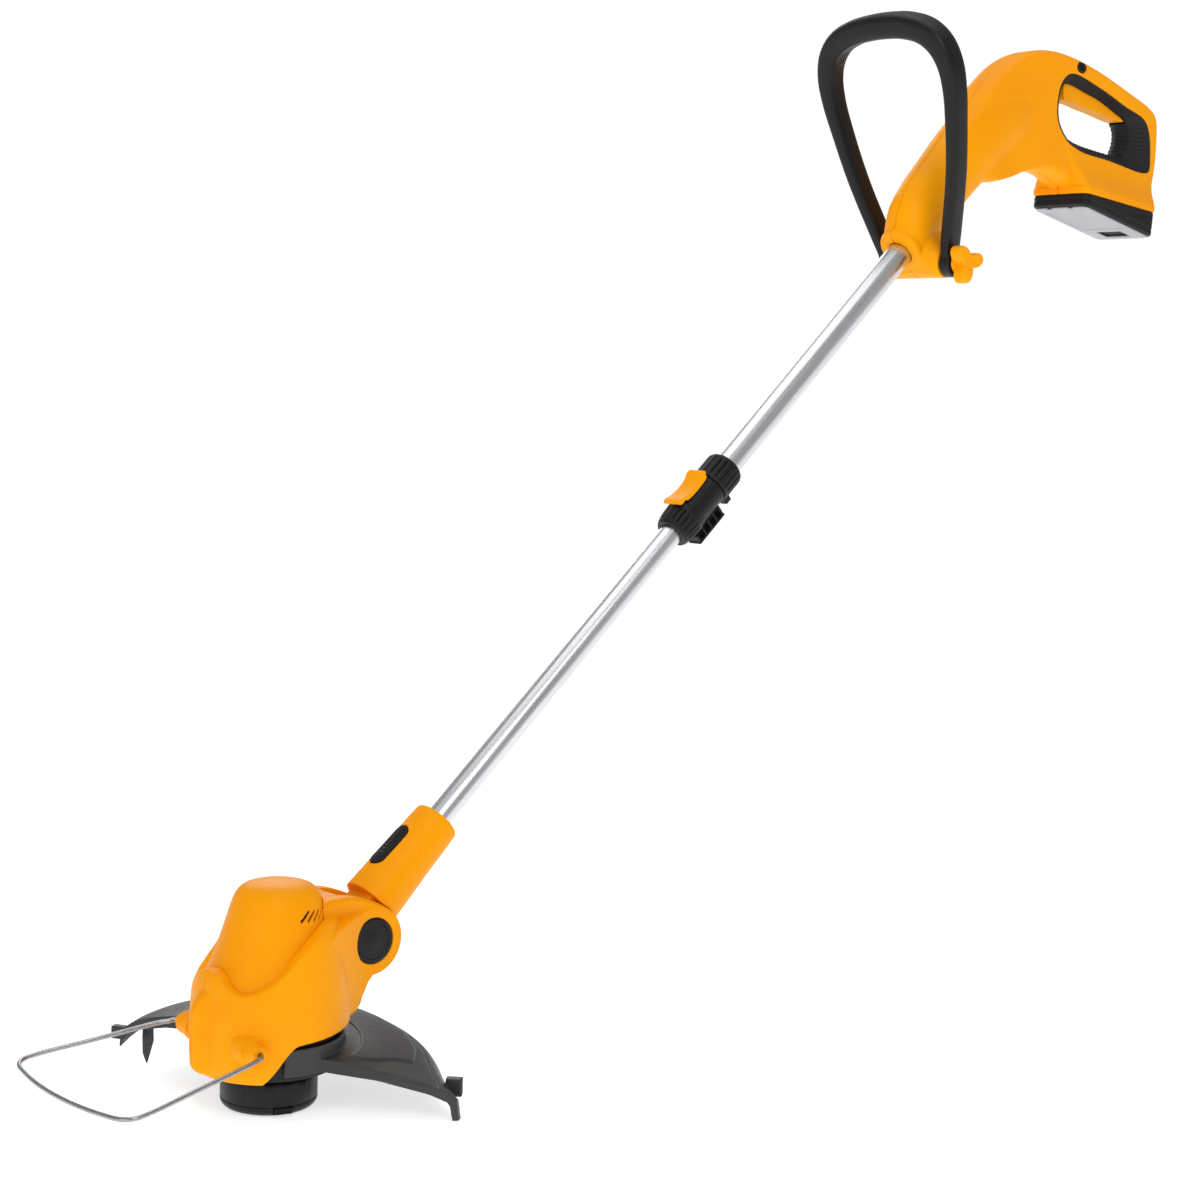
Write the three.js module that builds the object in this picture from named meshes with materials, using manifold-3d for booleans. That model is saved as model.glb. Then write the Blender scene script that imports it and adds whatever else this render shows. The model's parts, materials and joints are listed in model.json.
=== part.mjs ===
// Cordless string trimmer with a telescopic shaft, tilting motor head, spool,
// debris guard, plant-protector wire, loop handle and slide-on battery.
// Millimetres, +Z up. Origin: centre of the spool cap's underside.
// +Y points back along the tool to the user, -Y is the cutting direction,
// +X is the user's left. X = 0 is the mirror plane.
import * as THREE from 'three';
import { mergeVertices } from 'three/addons/utils/BufferGeometryUtils.js';
import Module from 'manifold-3d';

const wasm = await Module();
wasm.setup();

// ---------------------------------------------------------------- dimensions
const GAP = 0.3;                        // clearance between touching pieces
// shaft
const SHAFT = { y: 91.8, z: 150, deg: 42.46 };  // point on the axis, angle to the ground
const LOWER_R = 11, LOWER_WALL = 1.2;   // inner, lower tube
const UPPER_R = 13, UPPER_WALL = 1.4;   // outer, upper tube
const LOWER_S = [22, 560];              // stations along the shaft
const UPPER_S = [490.5, 905];
const COLLAR_S = [461, 487, 524, 553];  // lower cone, body, upper nut
const SLEEVE_S = [8, 102];
// head
const PIVOT = { y: 80.1, z: 131.5 };
const BOSS_R = 29.5, BOSS_X = 31.5, TONGUE_X = 15, TONGUE_R = 24;
const DISC_R = 19.2;
const WALL = 2.4;
const SKIRT_R = 57.2;
const SPOOL_R = 39.9;
const WIRE_R = 2.0, WIRE_Y = -47, WIRE_Z = 63.8, WIRE_X = 61.6;
const GUARD = { r: 139, yc: 4, z: 39.4, tilt: -0.12, from: 36.5, to: 214 };
// handle
const BOLT = { y: 767, z: 729.5 };
const LOOP_ANGLE = 108;                 // plane of the loop handle, from +Y
// battery
const BAT = { y: 1050, z: 811.3, deg: -5.48, w: 74.5 };

// ---------------------------------------------------------------- colours
const YELLOW = { color: 0xf9a30c, roughness: 0.34, metalness: 0 };
const BLACK = { color: 0x232326, roughness: 0.55, metalness: 0 };
const DARK = { color: 0x3a393a, roughness: 0.6, metalness: 0 };
const ALU = { color: 0xc9cbcd, roughness: 0.3, metalness: 1 };
const STEEL = { color: 0x9a9c9e, roughness: 0.35, metalness: 1 };
const GREY = { color: 0xbfc0c3, roughness: 0.5, metalness: 0 };
const GREEN = { color: 0x2f6b45, roughness: 0.6, metalness: 0 };
const CELL = { color: 0x4a7fb0, roughness: 0.4, metalness: 0 };
const LINE = { color: 0xd8d36a, roughness: 0.4, metalness: 0 };
const BRASS = { color: 0xb58b3c, roughness: 0.35, metalness: 1 };

// ---------------------------------------------------------------- helpers
const V = (x, y, z) => new THREE.Vector3(x, y, z);
const rad = THREE.MathUtils.degToRad;

function fromTris(pos, idx) {
  let vol = 0;
  const p = (i) => V(pos[3 * i], pos[3 * i + 1], pos[3 * i + 2]);
  for (let i = 0; i < idx.length; i += 3) {
    vol += p(idx[i]).dot(p(idx[i + 1]).cross(p(idx[i + 2])));
  }
  if (vol < 0) for (let i = 0; i < idx.length; i += 3) [idx[i], idx[i + 1]] = [idx[i + 1], idx[i]];
  const g = new THREE.BufferGeometry();
  g.setAttribute('position', new THREE.Float32BufferAttribute(pos, 3));
  g.setIndex(idx);
  return g;
}
// a skin through rings of equal length; open lofts get flat end caps,
// wrapped ones join the last ring to the first
function loft(rings, wrap = false) {
  const n = rings[0].length, pos = [], idx = [];
  for (const r of rings) for (const v of r) pos.push(v.x, v.y, v.z);
  const m = wrap ? rings.length : rings.length - 1;
  for (let i = 0; i < m; i++) for (let j = 0; j < n; j++) {
    const a = i * n + j, b = i * n + (j + 1) % n, k = ((i + 1) % rings.length) * n;
    const c = k + (j + 1) % n, d = k + j;
    idx.push(a, b, c, a, c, d);
  }
  if (!wrap) {
    const cap = (ring, base, flip) => {
      const nrm = V(0, 0, 0);
      ring.forEach((v, i) => nrm.add(v.clone().cross(ring[(i + 1) % n])));
      nrm.normalize();
      const u = (Math.abs(nrm.x) < 0.8 ? V(1, 0, 0) : V(0, 1, 0)).cross(nrm).normalize();
      const w = nrm.clone().cross(u);
      const flat = ring.map((v) => new THREE.Vector2(v.dot(u), v.dot(w)));
      for (const t of THREE.ShapeUtils.triangulateShape(flat, [])) {
        if (flip) idx.push(base + t[0], base + t[2], base + t[1]);
        else idx.push(base + t[0], base + t[1], base + t[2]);
      }
    };
    cap(rings[0], 0, true);
    cap(rings[rings.length - 1], (rings.length - 1) * n, false);
  }
  return fromTris(pos, idx);
}
const ring = (c, u, v, a, b, seg, e = 1) => Array.from({ length: seg }, (_, i) => {
  const t = (2 * Math.PI * i) / seg, cs = Math.cos(t), sn = Math.sin(t);
  const f = (q) => Math.sign(q) * Math.abs(q) ** e;
  return c.clone().addScaledVector(u, a * f(cs)).addScaledVector(v, b * f(sn));
});
function rod(p0, p1, r0, seg = 20, r1 = r0) {
  const ax = p1.clone().sub(p0).normalize();
  const u = (Math.abs(ax.x) < 0.8 ? V(1, 0, 0) : V(0, 1, 0)).cross(ax).normalize();
  const w = ax.clone().cross(u);
  return loft([ring(p0, u, w, r0, r0, seg), ring(p1, u, w, r1, r1, seg)]);
}
const rodX = (x0, x1, y, z, r, seg = 20, r1 = r) => rod(V(x0, y, z), V(x1, y, z), r, seg, r1);
const rodZ = (z0, z1, r, seg = 20, r1 = r, x = 0, y = 0) => rod(V(x, y, z0), V(x, y, z1), r, seg, r1);
// turned piece: profile of [radius, z], closed on itself
function turned(profile, seg = 20) {
  const pts = profile.map(([r, z]) => new THREE.Vector2(r, z));
  if (profile[0][0] > 0) pts.push(pts[0].clone());
  const g = new THREE.LatheGeometry(pts, seg);
  g.rotateX(Math.PI / 2);
  g.deleteAttribute('normal'); g.deleteAttribute('uv');
  const m = mergeVertices(g, 1e-4);
  const keep = [], ix = m.index.array;
  for (let i = 0; i < ix.length; i += 3) {
    if (ix[i] !== ix[i + 1] && ix[i + 1] !== ix[i + 2] && ix[i] !== ix[i + 2]) keep.push(ix[i], ix[i + 1], ix[i + 2]);
  }
  return fromTris(Array.from(m.attributes.position.array), keep);
}
// slab: [y, z] outline pushed out along X
function slab(outline, x0, x1) {
  return loft([outline.map(([y, z]) => V(x0, y, z)), outline.map(([y, z]) => V(x1, y, z))]);
}
const block = (x0, x1, y0, y1, z0, z1) => slab([[y0, z0], [y1, z0], [y1, z1], [y0, z1]], x0, x1);
function roundRect(x0, x1, y0, y1, r, z, k = 3) {
  const out = [];
  for (const [cx, cy, a0] of [[x1 - r, y0 + r, -90], [x1 - r, y1 - r, 0], [x0 + r, y1 - r, 90], [x0 + r, y0 + r, 180]]) {
    for (let i = 0; i <= k; i++) {
      const a = rad(a0 + (90 * i) / k);
      out.push(V(cx + r * Math.cos(a), cy + r * Math.sin(a), z));
    }
  }
  return out;
}
const body = (g) => {
  let s = g.clone();
  for (const n of ['normal', 'uv']) if (s.attributes[n]) s.deleteAttribute(n);
  s = mergeVertices(s, 1e-4);
  return new wasm.Manifold(new wasm.Mesh({
    numProp: 3,
    vertProperties: new Float32Array(s.attributes.position.array),
    triVerts: new Uint32Array(s.index.array),
  }));
};
const join = (...gs) => gs.map((g) => (g.isBufferGeometry ? body(g) : g)).reduce((a, b) => a.add(b));
const cut = (a, ...gs) => gs.map((g) => (g.isBufferGeometry ? body(g) : g))
  .reduce((s, b) => s.subtract(b), a.isBufferGeometry ? body(a) : a);
const common = (a, b) => (a.isBufferGeometry ? body(a) : a).intersect(b.isBufferGeometry ? body(b) : b);
function shape(m) {
  if (m.isBufferGeometry) return m;
  const q = m.getMesh(), k = q.numProp, pos = [];
  for (let i = 0; i < q.vertProperties.length; i += k) pos.push(q.vertProperties[i], q.vertProperties[i + 1], q.vertProperties[i + 2]);
  const g = new THREE.BufferGeometry();
  g.setAttribute('position', new THREE.Float32BufferAttribute(pos, 3));
  g.setIndex(Array.from(q.triVerts));
  return g;
}
const root = new THREE.Group();
const shaft = new THREE.Group();        // local z runs up the shaft, local -y is its upper side
shaft.position.set(0, SHAFT.y, SHAFT.z);
shaft.rotation.x = -rad(90 - SHAFT.deg);
const pack = new THREE.Group();         // battery, on its sloping rails
pack.position.set(0, BAT.y, BAT.z);
pack.rotation.x = rad(BAT.deg);
root.add(shaft, pack);
root.updateMatrixWorld(true);
const toShaft = (g) => shape(g).clone().applyMatrix4(shaft.matrixWorld);   // shaft-local to world
const toPack = (g) => shape(g).clone().applyMatrix4(pack.matrixWorld);
function add(name, geometry, mat, group = root) {
  const m = new THREE.Mesh(shape(geometry), new THREE.MeshStandardMaterial(mat));
  m.name = name;
  group.add(m);
}
// point on the shaft axis at station s, h above it
const S = (s, h = 0, x = 0) => {
  const a = rad(SHAFT.deg);
  return V(x, SHAFT.y + s * Math.cos(a) - h * Math.sin(a), SHAFT.z + s * Math.sin(a) + h * Math.cos(a));
};
const lerp = (tab, x) => {
  if (x <= tab[0][0]) return tab[0][1];
  for (let i = 1; i < tab.length; i++) {
    if (x <= tab[i][0]) {
      const [x0, y0] = tab[i - 1], [x1, y1] = tab[i];
      return y0 + ((y1 - y0) * (x - x0)) / (x1 - x0);
    }
  }
  return tab[tab.length - 1][1];
};
const wallTube = (z0, z1, ro, ri, seg = 20) => turned([[ro, z0], [ro, z1], [ri, z1], [ri, z0]], seg);

// ================================================================ shaft
add('lower_tube', wallTube(LOWER_S[0], LOWER_S[1], LOWER_R, LOWER_R - LOWER_WALL), ALU, shaft);
add('upper_tube', wallTube(UPPER_S[0], UPPER_S[1], UPPER_R, UPPER_R - UPPER_WALL), ALU, shaft);

const [C0, C1, C2, C3] = COLLAR_S;
add('collar_cone_lower', cut(turned([[14.6, C0], [16.6, C0 + 8], [17.9, C0 + 19], [17.9, C1 - GAP], [LOWER_R + 0.4, C1 - GAP], [LOWER_R + 0.4, C0]], 24),
  block(-11.6, 11.6, -20, -16.4, C1 - 8.4, C1)), BLACK, shaft);   // flat that leaves the thumb button its travel
add('collar_nut_upper', join(
  turned([[18, C2 + GAP], [18.6, C2 + 3], [18.6, C3 - 4], [16.8, C3], [UPPER_R + 0.4, C3], [UPPER_R + 0.4, C2 + GAP]], 24),
  block(-4, 5, 17.6, 25.5, C2 + 4, C2 + 12)), BLACK, shaft);
// body between the two, with the slatted accessory bracket underneath
const slats = [0, 1, 2, 3].map((i) => block(-8, 8, 15.5, 27, C1 + 0.6 + 9.2 * i, C1 + 3 + 9.2 * i));
add('collar_body', cut(join(
  turned([[17, C1], [17, C2], [UPPER_R + GAP, C2], [UPPER_R + GAP, C1 + 2.6], [LOWER_R + 0.4, C1 + 1.4], [LOWER_R + 0.4, C1]], 24),
  block(-8, 8, 26.4, 29, C1 - 10, C1 + 31.4), block(-8, 8, 19.6, 27, C1 - 9, C1 - 6.8), ...slats),
block(-11.6, 11.6, -18, -14.5, C1 + 0.8, C2 - 0.8)), BLACK, shaft);
// thumb button, hollowed for the thumb, ends curled up
{
  const prof = [[-16.6, C1 + 2.4], [-18.5, C1 + 1.6], [-18.6, C1 - 5], [-22.6, C1 - 7], [-23.2, C1 - 4], [-20.8, C1 + 4], [-19.6, C1 + 13],
    [-19.8, C1 + 22], [-21.6, C1 + 29], [-24, C1 + 33], [-23, C1 + 36], [-19.8, C1 + 35.2], [-18.9, C1 + 35], [-16.6, C1 + 34]];
  add('tube_release_button', common(slab(prof, -11, 11),
    turned([[0, C1 - 12], [25.6, C1 - 12], [25.6, C2 + 2], [0, C2 + 2]], 20)), YELLOW, shaft);
}

// neck sleeve, swivelling on the lower tube, with the hinge tongue below
const sleeveR = (s) => lerp([[8, 25], [20, 24.6], [60, 22.4], [100, 20.9], [102, 20.2]], s);
const tongueCut = [
  rodX(-40, 40, PIVOT.y, PIVOT.z, 6.3),
];
const sleeveOuter = loft([SLEEVE_S[0], 20, 60, 99.5, SLEEVE_S[1]].map((s) => ring(S(s), V(1, 0, 0), S(0, 1).sub(S(0, 0)), sleeveR(s), sleeveR(s), 22)));
const headClear = rodX(-60, 60, PIVOT.y, PIVOT.z, BOSS_R + 1.4, 24);      // room to tilt
const sleeveUpper = cut(sleeveOuter, headClear);
const tongue = join(rodX(-TONGUE_X, TONGUE_X, PIVOT.y, PIVOT.z, TONGUE_R, 24),
  common(slab([[PIVOT.y - 17, PIVOT.z + 12], [PIVOT.y + 16, PIVOT.z - 16], [S(48, -15).y, S(48, -15).z], [S(48, 15).y, S(48, 15).z]], -TONGUE_X, TONGUE_X), sleeveOuter),
  common(slab([[PIVOT.y - 17, PIVOT.z + 12], [PIVOT.y + 16, PIVOT.z - 16], [S(30, -14).y, S(30, -14).z], [S(30, 14).y, S(30, 14).z]], -TONGUE_X, TONGUE_X), rodX(-30, 30, PIVOT.y, PIVOT.z, 45, 24)));
const shaftBore = toShaft(rodZ(LOWER_S[0] - 1, 130, LOWER_R + GAP));
const cableHole = toShaft(rodZ(-18, 130, 5, 10));
const stadium = (grow, h0, h1) => {                                        // button outline on the sleeve
  const out = [];
  for (let i = 0; i <= 5; i++) { const a = Math.PI * (i / 5); out.push([Math.cos(a) * (8 + grow), 68 + Math.sin(a) * (8 + grow)]); }
  for (let i = 0; i <= 5; i++) { const a = Math.PI * (1 + i / 5); out.push([Math.cos(a) * (8 + grow), 40 + Math.sin(a) * (8 + grow)]); }
  return loft([out.map(([x, s]) => S(s, h0, x)), out.map(([x, s]) => S(s, h1, x))]);
};
add('neck_sleeve', cut(join(sleeveUpper, tongue), ...tongueCut, shaftBore, cableHole, stadium(GAP, 14.5, 30)), YELLOW);
add('sleeve_button', common(stadium(0, 17.6, 30),
  loft([24, 60, 84].map((s) => ring(S(s), V(1, 0, 0), S(0, 1).sub(S(0, 0)), sleeveR(s) + 1.6, sleeveR(s) + 1.3, 20)))), BLACK);

// ================================================================ head
// barrel radius by height, and the lower and upper edge of its wall by angle
// from straight ahead
const BARREL = [[30, 58.6], [34, 60], [38, 62.4], [46, 64.4], [60, 65.2], [80, 65], [105, 63.4], [125, 60.5], [150, 56], [175, 51]];
const LOW = [[0, 34], [52, 34], [56, 38], [79, 66], [95, 67.5], [126, 69.5], [180, 71]];
const STEP = [[0, 121], [12, 118.5], [24, 110], [36, 105.5], [56, 113], [67, 121], [78, 132], [100, 146], [128, 155], [180, 158]];
const COVER = [[98, 55.5, -2], [108, 53, -1.6], [128, 47, 0.6], [150, 41.6, 3], [170, 36.6, 5], [177, 34, 5.4], [183, 28, 5.4], [186.5, 16, 5.4]];
const HSEG = 36;
function barrelRing(t, off, extra = 0) {
  return Array.from({ length: HSEG }, (_, i) => {
    const a = (360 * i) / HSEG, f = a > 180 ? 360 - a : a;
    const z0 = lerp(LOW, f) - extra, z1 = lerp(STEP, f) + extra;
    const z = z0 + (z1 - z0) * t, r = lerp(BARREL, z) + off;
    return V(r * Math.sin(rad(a)), -r * Math.cos(rad(a)), z);
  });
}
// the shoulder closes the step between the barrel and the tapered cover
const shoulderRing = (dz) => Array.from({ length: HSEG }, (_, i) => {
  const a = (360 * i) / HSEG, z = lerp(STEP, a > 180 ? 360 - a : a) + dz;
  const r = lerp(COVER.map(([h, q]) => [h, q]), z) - 0.4, yc = lerp(COVER.map(([h, , q]) => [h, q]), z);
  return V(r * Math.sin(rad(a)), yc - r * Math.cos(rad(a)), z);
});
const barrelWall = loft([...[0, 0.08, 0.35, 0.7, 1].map((t) => barrelRing(t, t === 1 ? -1 : 0)),
  shoulderRing(1.6), shoulderRing(-1.4), ...[0.93, 0.5, 0].map((t) => barrelRing(t, -WALL))], true);
const around = (off, z0, z1) => loft([z0, 34, 40, 60, 105, 125, 150, z1].filter((z) => z >= z0 && z <= z1)
  .map((z) => ring(V(0, 0, z), V(1, 0, 0), V(0, 1, 0), lerp(BARREL, z) + off, lerp(BARREL, z) + off, HSEG)));
const coverSolid = (off, lo = 98) => loft([...(lo < 98 ? [[lo, 55.5, -2]] : []), ...COVER]
  .map(([z, r, yc]) => ring(V(0, yc, z + (z > 175 ? off : 0)), V(1, 0, 0), V(0, 1, 0), r + off, r + off, 26)));
// arms that carry the tilt pivot
const ARM = [[20, 72], [62, 70], [68, 75], [73, 88], [84, 102.5], [96, 107], [106, 117], [109.4, 131.5], [106, 146], [96, 156.5],
  [84, 163], [66, 169], [48, 171], [30, 168], [12, 158]];
const arms = join(slab(ARM, -27, 27), slab(ARM.map(([y, z]) => [PIVOT.y + (y - PIVOT.y) * 0.93, PIVOT.z + (z - PIVOT.z) * 0.93]), -30, 30),
  rodX(-BOSS_X, BOSS_X, PIVOT.y, PIVOT.z, BOSS_R, 26));
const nose = loft([[38, 0.55], [46, 0.95], [60, 1], [88, 0.96], [104, 0.35]].map(([z, k]) => [[-13, -60], [-9, -60 - 7 * k], [-3.5, -60 - 14 * k], [3.5, -60 - 14 * k], [9, -60 - 7 * k], [13, -60]]
  .map(([x, y]) => V(x, y, z))));
const wireBoss = [1, -1].map((s) => rodX(s * 40, s * 60.4, WIRE_Y, WIRE_Z, 11, 16, 6));
// fairing that runs from the barrel to the pivot bosses
const fairing = common(slab([[10, 78], [60, 76], [68, 84], [76, 98], [86, 105], [86, 159], [60, 156], [35, 150], [20, 142], [10, 134]], -60, 60),
  loft([60, 175].map((z) => [[56, 12], [52, 26], [45, 42], [38, 56], [33, 68], [31, 80], [-31, 80], [-33, 68], [-38, 56], [-45, 42], [-52, 26], [-56, 12]].map(([x, y]) => V(x, y, z)))));
let headSolid = join(barrelWall, arms, nose, fairing, ...wireBoss);
headSolid = cut(headSolid,
  around(-WALL, 20, 101),                                     // motor space
  coverSolid(GAP, 90),
  block(-TONGUE_X - 0.5, TONGUE_X + 0.5, PIVOT.y - TONGUE_R - 2.5, 140, 96, 200),
  rodX(-40, 40, PIVOT.y, PIVOT.z, 6.3),
  rodX(25.8, 40, PIVOT.y, PIVOT.z, DISC_R + GAP, 20),
  rodX(-40, -28.9, PIVOT.y, PIVOT.z, DISC_R + GAP, 20),
  rodX(51.5, 70, WIRE_Y, WIRE_Z, WIRE_R + GAP, 12), rodX(-70, -51.5, WIRE_Y, WIRE_Z, WIRE_R + GAP, 12));
add('head_shell_left', common(headSolid, block(GAP / 2, 90, -120, 160, 0, 240)), YELLOW);
add('head_shell_right', common(headSolid, block(-90, -GAP / 2, -120, 160, 0, 240)), YELLOW);
// motor cover, a cup open below, with slanted cooling slots on its rear left
const ventSlots = [0, 1, 2, 3].map((i) => {
  const g = block(20, 60, -1.1, 1.1, -8, 8);
  g.rotateX(rad(28)); g.rotateZ(rad(30 + 12 * i)); g.translate(0, 5, 152 - 0.5 * i);
  return g;
});
add('motor_cover', cut(coverSolid(0), loft(COVER.map(([z, r, yc], i) => ring(V(0, yc, i === 0 ? 90 : z - (i > 4 ? WALL : 0)), V(1, 0, 0), V(0, 1, 0), r - WALL, r - WALL, 26))),
  ...ventSlots), YELLOW);
// black skirt that closes the housing below
add('motor_base', cut(turned([[50, 36], [SKIRT_R, 38], [SKIRT_R, 72], [SKIRT_R - 2.2, 72], [SKIRT_R - 2.2, 40], [12, 40], [12, 36]], 28),
  block(-80, 80, -80, -30, 52, 90)), BLACK);
add('motor_mount_plate', cut(turned([[13, 76], [46, 76], [46, 79], [13, 79]], 20),
  ...[0, 1, 2].map((i) => rodZ(70, 90, 2, 8, 2, 17 * Math.cos(i * 2.094), 17 * Math.sin(i * 2.094)))), STEEL);
add('motor_can', cut(turned([[0, 79.6], [22, 79.6], [22, 141], [18, 145], [0, 145]], 18),
  turned([[0, 81.4], [20.4, 81.4], [20.4, 140], [17, 143.2], [0, 143.2]], 18), rodZ(70, 160, 4.6, 12)), STEEL);
add('motor_bearing_lower', wallTube(72, 78.6, 11.5, 3.4), STEEL);
add('motor_bearing_upper', wallTube(145.6, 151, 9.5, 3.4), STEEL);
add('motor_rotor', join(rodZ(18, 154, 3, 12), rodZ(88, 136, 17, 18), rodZ(83.5, 86, 8, 18)), BRASS);
add('pivot_pin', rodX(-28.4, 25.4, PIVOT.y, PIVOT.z, 5.9, 16), STEEL);
add('pivot_cap', rodX(-32.2, -29.2, PIVOT.y, PIVOT.z, DISC_R, 20), BLACK);
add('tilt_button', rodX(29, 32.2, PIVOT.y, PIVOT.z, DISC_R, 20), BLACK);

// debris guard: a shallow dome whose rim turns down, and sweeps round the back
const rimTop = (x) => GUARD.z + GUARD.tilt * x;
// the left end runs across in front of the hub and flares out at its foot
const NEAR_END = [[58, 3], [70, 13], [85, 22], [100, 28], [120, 33], [139, 36.5], [160, 38.5]];
const guardPoint = (r, phi, z) => {
  const k = Math.max(0, 1 - (phi - GUARD.from) / (GUARD.to - GUARD.from)) ** 4;
  const a = rad(phi + (lerp(NEAR_END, r) - GUARD.from) * k);
  const g = r + 19 * Math.min(1, Math.max(0, (r - 96) / 34)) * Math.max(0, 1 - (phi - GUARD.from) / 26) ** 2;
  return V(g * Math.cos(a), g * Math.sin(a) + GUARD.yc * (r / GUARD.r), Math.max(rimTop(g * Math.cos(a)) + z, 0.6));
};
function guardSection(phi) {
  // how far the rim hangs down: longest at the left end
  const drop = lerp([[GUARD.from, 21], [GUARD.from + 4, 19], [GUARD.from + 14, 13], [90, 13], [150, 13], [GUARD.to - 14, 15], [GUARD.to, 20]], phi);
  const out = [[58.4, 19.5], [86, 16], [116, 7.5], [129, 1], [137, -8], [139.6, -drop - 0.4]];
  const inn = [[137.2, -drop - 0.4], [134.6, -8], [127.4, -1], [115, 5.2], [85.6, 13.6], [58.4, 17]];
  return [...out, ...inn].map(([r, z]) => guardPoint(r, phi, z));
}
const guardAngles = [];
for (let a = GUARD.from; a < GUARD.to; a += 11.5) guardAngles.push(a);
guardAngles.push(GUARD.to);
const lug = (phi, r0, r1, w, z0, z1) => {
  const g = block(r0, r1, -w / 2, w / 2, z0, z1);
  g.rotateZ(rad(phi)); g.translate(0, GUARD.yc, 0);
  return g;
};
const frontLip = (phi, side) => {                             // stiffening web under the open edge
  const c = Math.cos(rad(phi)), s = Math.sin(rad(phi)), t = V(-s * side, c * side, 0).multiplyScalar(1);
  const P = (r, z) => guardPoint(r, phi, z);
  const web = [P(60, 19), P(96, 13), P(128, 1.2), P(136, -8), P(132, -9), P(122, -3.4), P(96, 4), P(60, 9)];
  return loft([web, web.map((v) => v.clone().addScaledVector(t, 2.6))]);
};
const endL = GUARD.from, endR = GUARD.to;
let guard = join(loft(guardAngles.map(guardSection)), frontLip(endL, 1), frontLip(endR, -1),
  lug(46, 143, 157, 9, rimTop(112) - 13, rimTop(112) + 2),
  lug(endR - 2, 136, 148, 8, rimTop(-112) - 15, rimTop(-112) - 4),
  cut(turned([[58.2, 40], [61.4, 40], [61.4, 62], [58.2, 62]], 28), block(-90, 90, -90, -22, 20, 90)));
guard = cut(guard, common(around(0.5, 20, 175), block(-90, 0, -90, -4, 0, 200)), rodZ(0, 80, SKIRT_R + 0.9, 28));
{
  const parts = guard.decompose();
  guard = parts.reduce((a, b) => (a.volume() > b.volume() ? a : b));
}
// the two bolt holes and the cutter's seat
const CUT_PHI = 206, CUT_R = 122;
const cutterAt = V(CUT_R * Math.cos(rad(CUT_PHI)), CUT_R * Math.sin(rad(CUT_PHI)) + GUARD.yc * CUT_R / GUARD.r, 0);
add('guard', guard, DARK);
{
  // line cutter: a bent steel blade hung under the right-hand end of the guard
  const zT = rimTop(cutterAt.x) - 3.4;
  const g = slab([[-5, -2.2], [5, -2.2], [5.4, -14], [-1, -34], [-5, -26], [-5.6, -12]], -0.9, 0.9);
  g.rotateZ(rad(CUT_PHI + 86)); g.translate(cutterAt.x, cutterAt.y, zT);
  const p = block(-6, 6, -6, 6, -3.4, -1.8);
  p.rotateZ(rad(CUT_PHI)); p.translate(cutterAt.x, cutterAt.y, zT);
  add('line_cutter', cut(join(g, p), body(guard.isBufferGeometry ? guard : shape(guard))), STEEL);
}
// plant-protector wire
{
  const half = [V(52.4, WIRE_Y, WIRE_Z), V(60, WIRE_Y, WIRE_Z), V(65.4, WIRE_Y - 2.4, WIRE_Z - 0.4), V(67.2, WIRE_Y - 8, WIRE_Z - 1.2), V(70, -62, 61.9),
    V(80.5, -116, 54.4), V(89.6, -163, 48), V(89, -174, 46.4), V(82, -181.4, 45.4), V(60, -187, 44.6), V(30, -191, 44.1), V(0, -192.4, 43.9)];
  const path = [...half, ...half.slice(0, -1).reverse().map((p) => V(-p.x, p.y, p.z))];
  const rings = path.map((p, i) => {
    const a = path[Math.max(0, i - 1)], b = path[Math.min(path.length - 1, i + 1)];
    const t = b.clone().sub(a).normalize();
    const u = V(0, 0.15, 1).cross(t).normalize(), w = t.clone().cross(u);
    return ring(p, u, w, WIRE_R, WIRE_R, 8);
  });
  add('wire_guard', loft(rings), STEEL);
}

// ================================================================ spool
add('spool_housing', turned([[3.4, 30.6], [3.4, 22], [8, 22], [8, 12.6], [10, 12.6], [10, 24], [36.8, 24], [36.8, 9], [SPOOL_R, 9], [SPOOL_R, 27], [37.6, 30.6]], 26), BLACK);
add('line_spool', turned([[10.6, 10.2], [35.4, 10.2], [35.4, 11.8], [15.4, 11.8], [15.4, 20.6], [35.4, 20.6], [35.4, 22.2], [10.6, 22.2]], 20), DARK);
add('line_winding', turned([[15.9, 12.3], [31, 12.3], [32.4, 14], [32.4, 18.4], [31, 20.1], [15.9, 20.1]], 20), LINE);
{
  const turns = 3.5, n = 28, pts = [];
  for (let i = 0; i <= n; i++) {
    const a = 2 * Math.PI * turns * (i / n);
    pts.push(V(5.9 * Math.cos(a), 5.9 * Math.sin(a), 3.6 + 7.4 * (i / n)));
  }
  const rings = pts.map((p, i) => {
    const t = pts[Math.min(n, i + 1)].clone().sub(pts[Math.max(0, i - 1)]).normalize();
    const u = V(0, 0, 1).cross(t).normalize(), w = t.clone().cross(u);
    return ring(p, u, w, 0.6, 0.6, 4);
  });
  add('spool_spring', loft(rings), STEEL);
}
add('spool_cap', cut(turned([[0, 0], [30, 0], [36, 1.4], [39, 4.4], [SPOOL_R, 7], [SPOOL_R, 8.7], [36.4, 8.7], [36.4, 7], [33, 3], [0, 3]], 26),
  ...[0, 1].map((i) => { const g = block(33, 45, -8.4, 8.4, 2.4, 12); g.rotateZ(rad(-15 + 180 * i)); return g; })), BLACK);
for (const [i, n] of [[0, 'spool_latch_a'], [1, 'spool_latch_b']]) {
  const g = block(37.6, 40.6, -7.6, 7.6, 3.2, 8.5);
  g.rotateZ(rad(-15 + 180 * i));
  add(n, g, BLACK);
}

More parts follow.
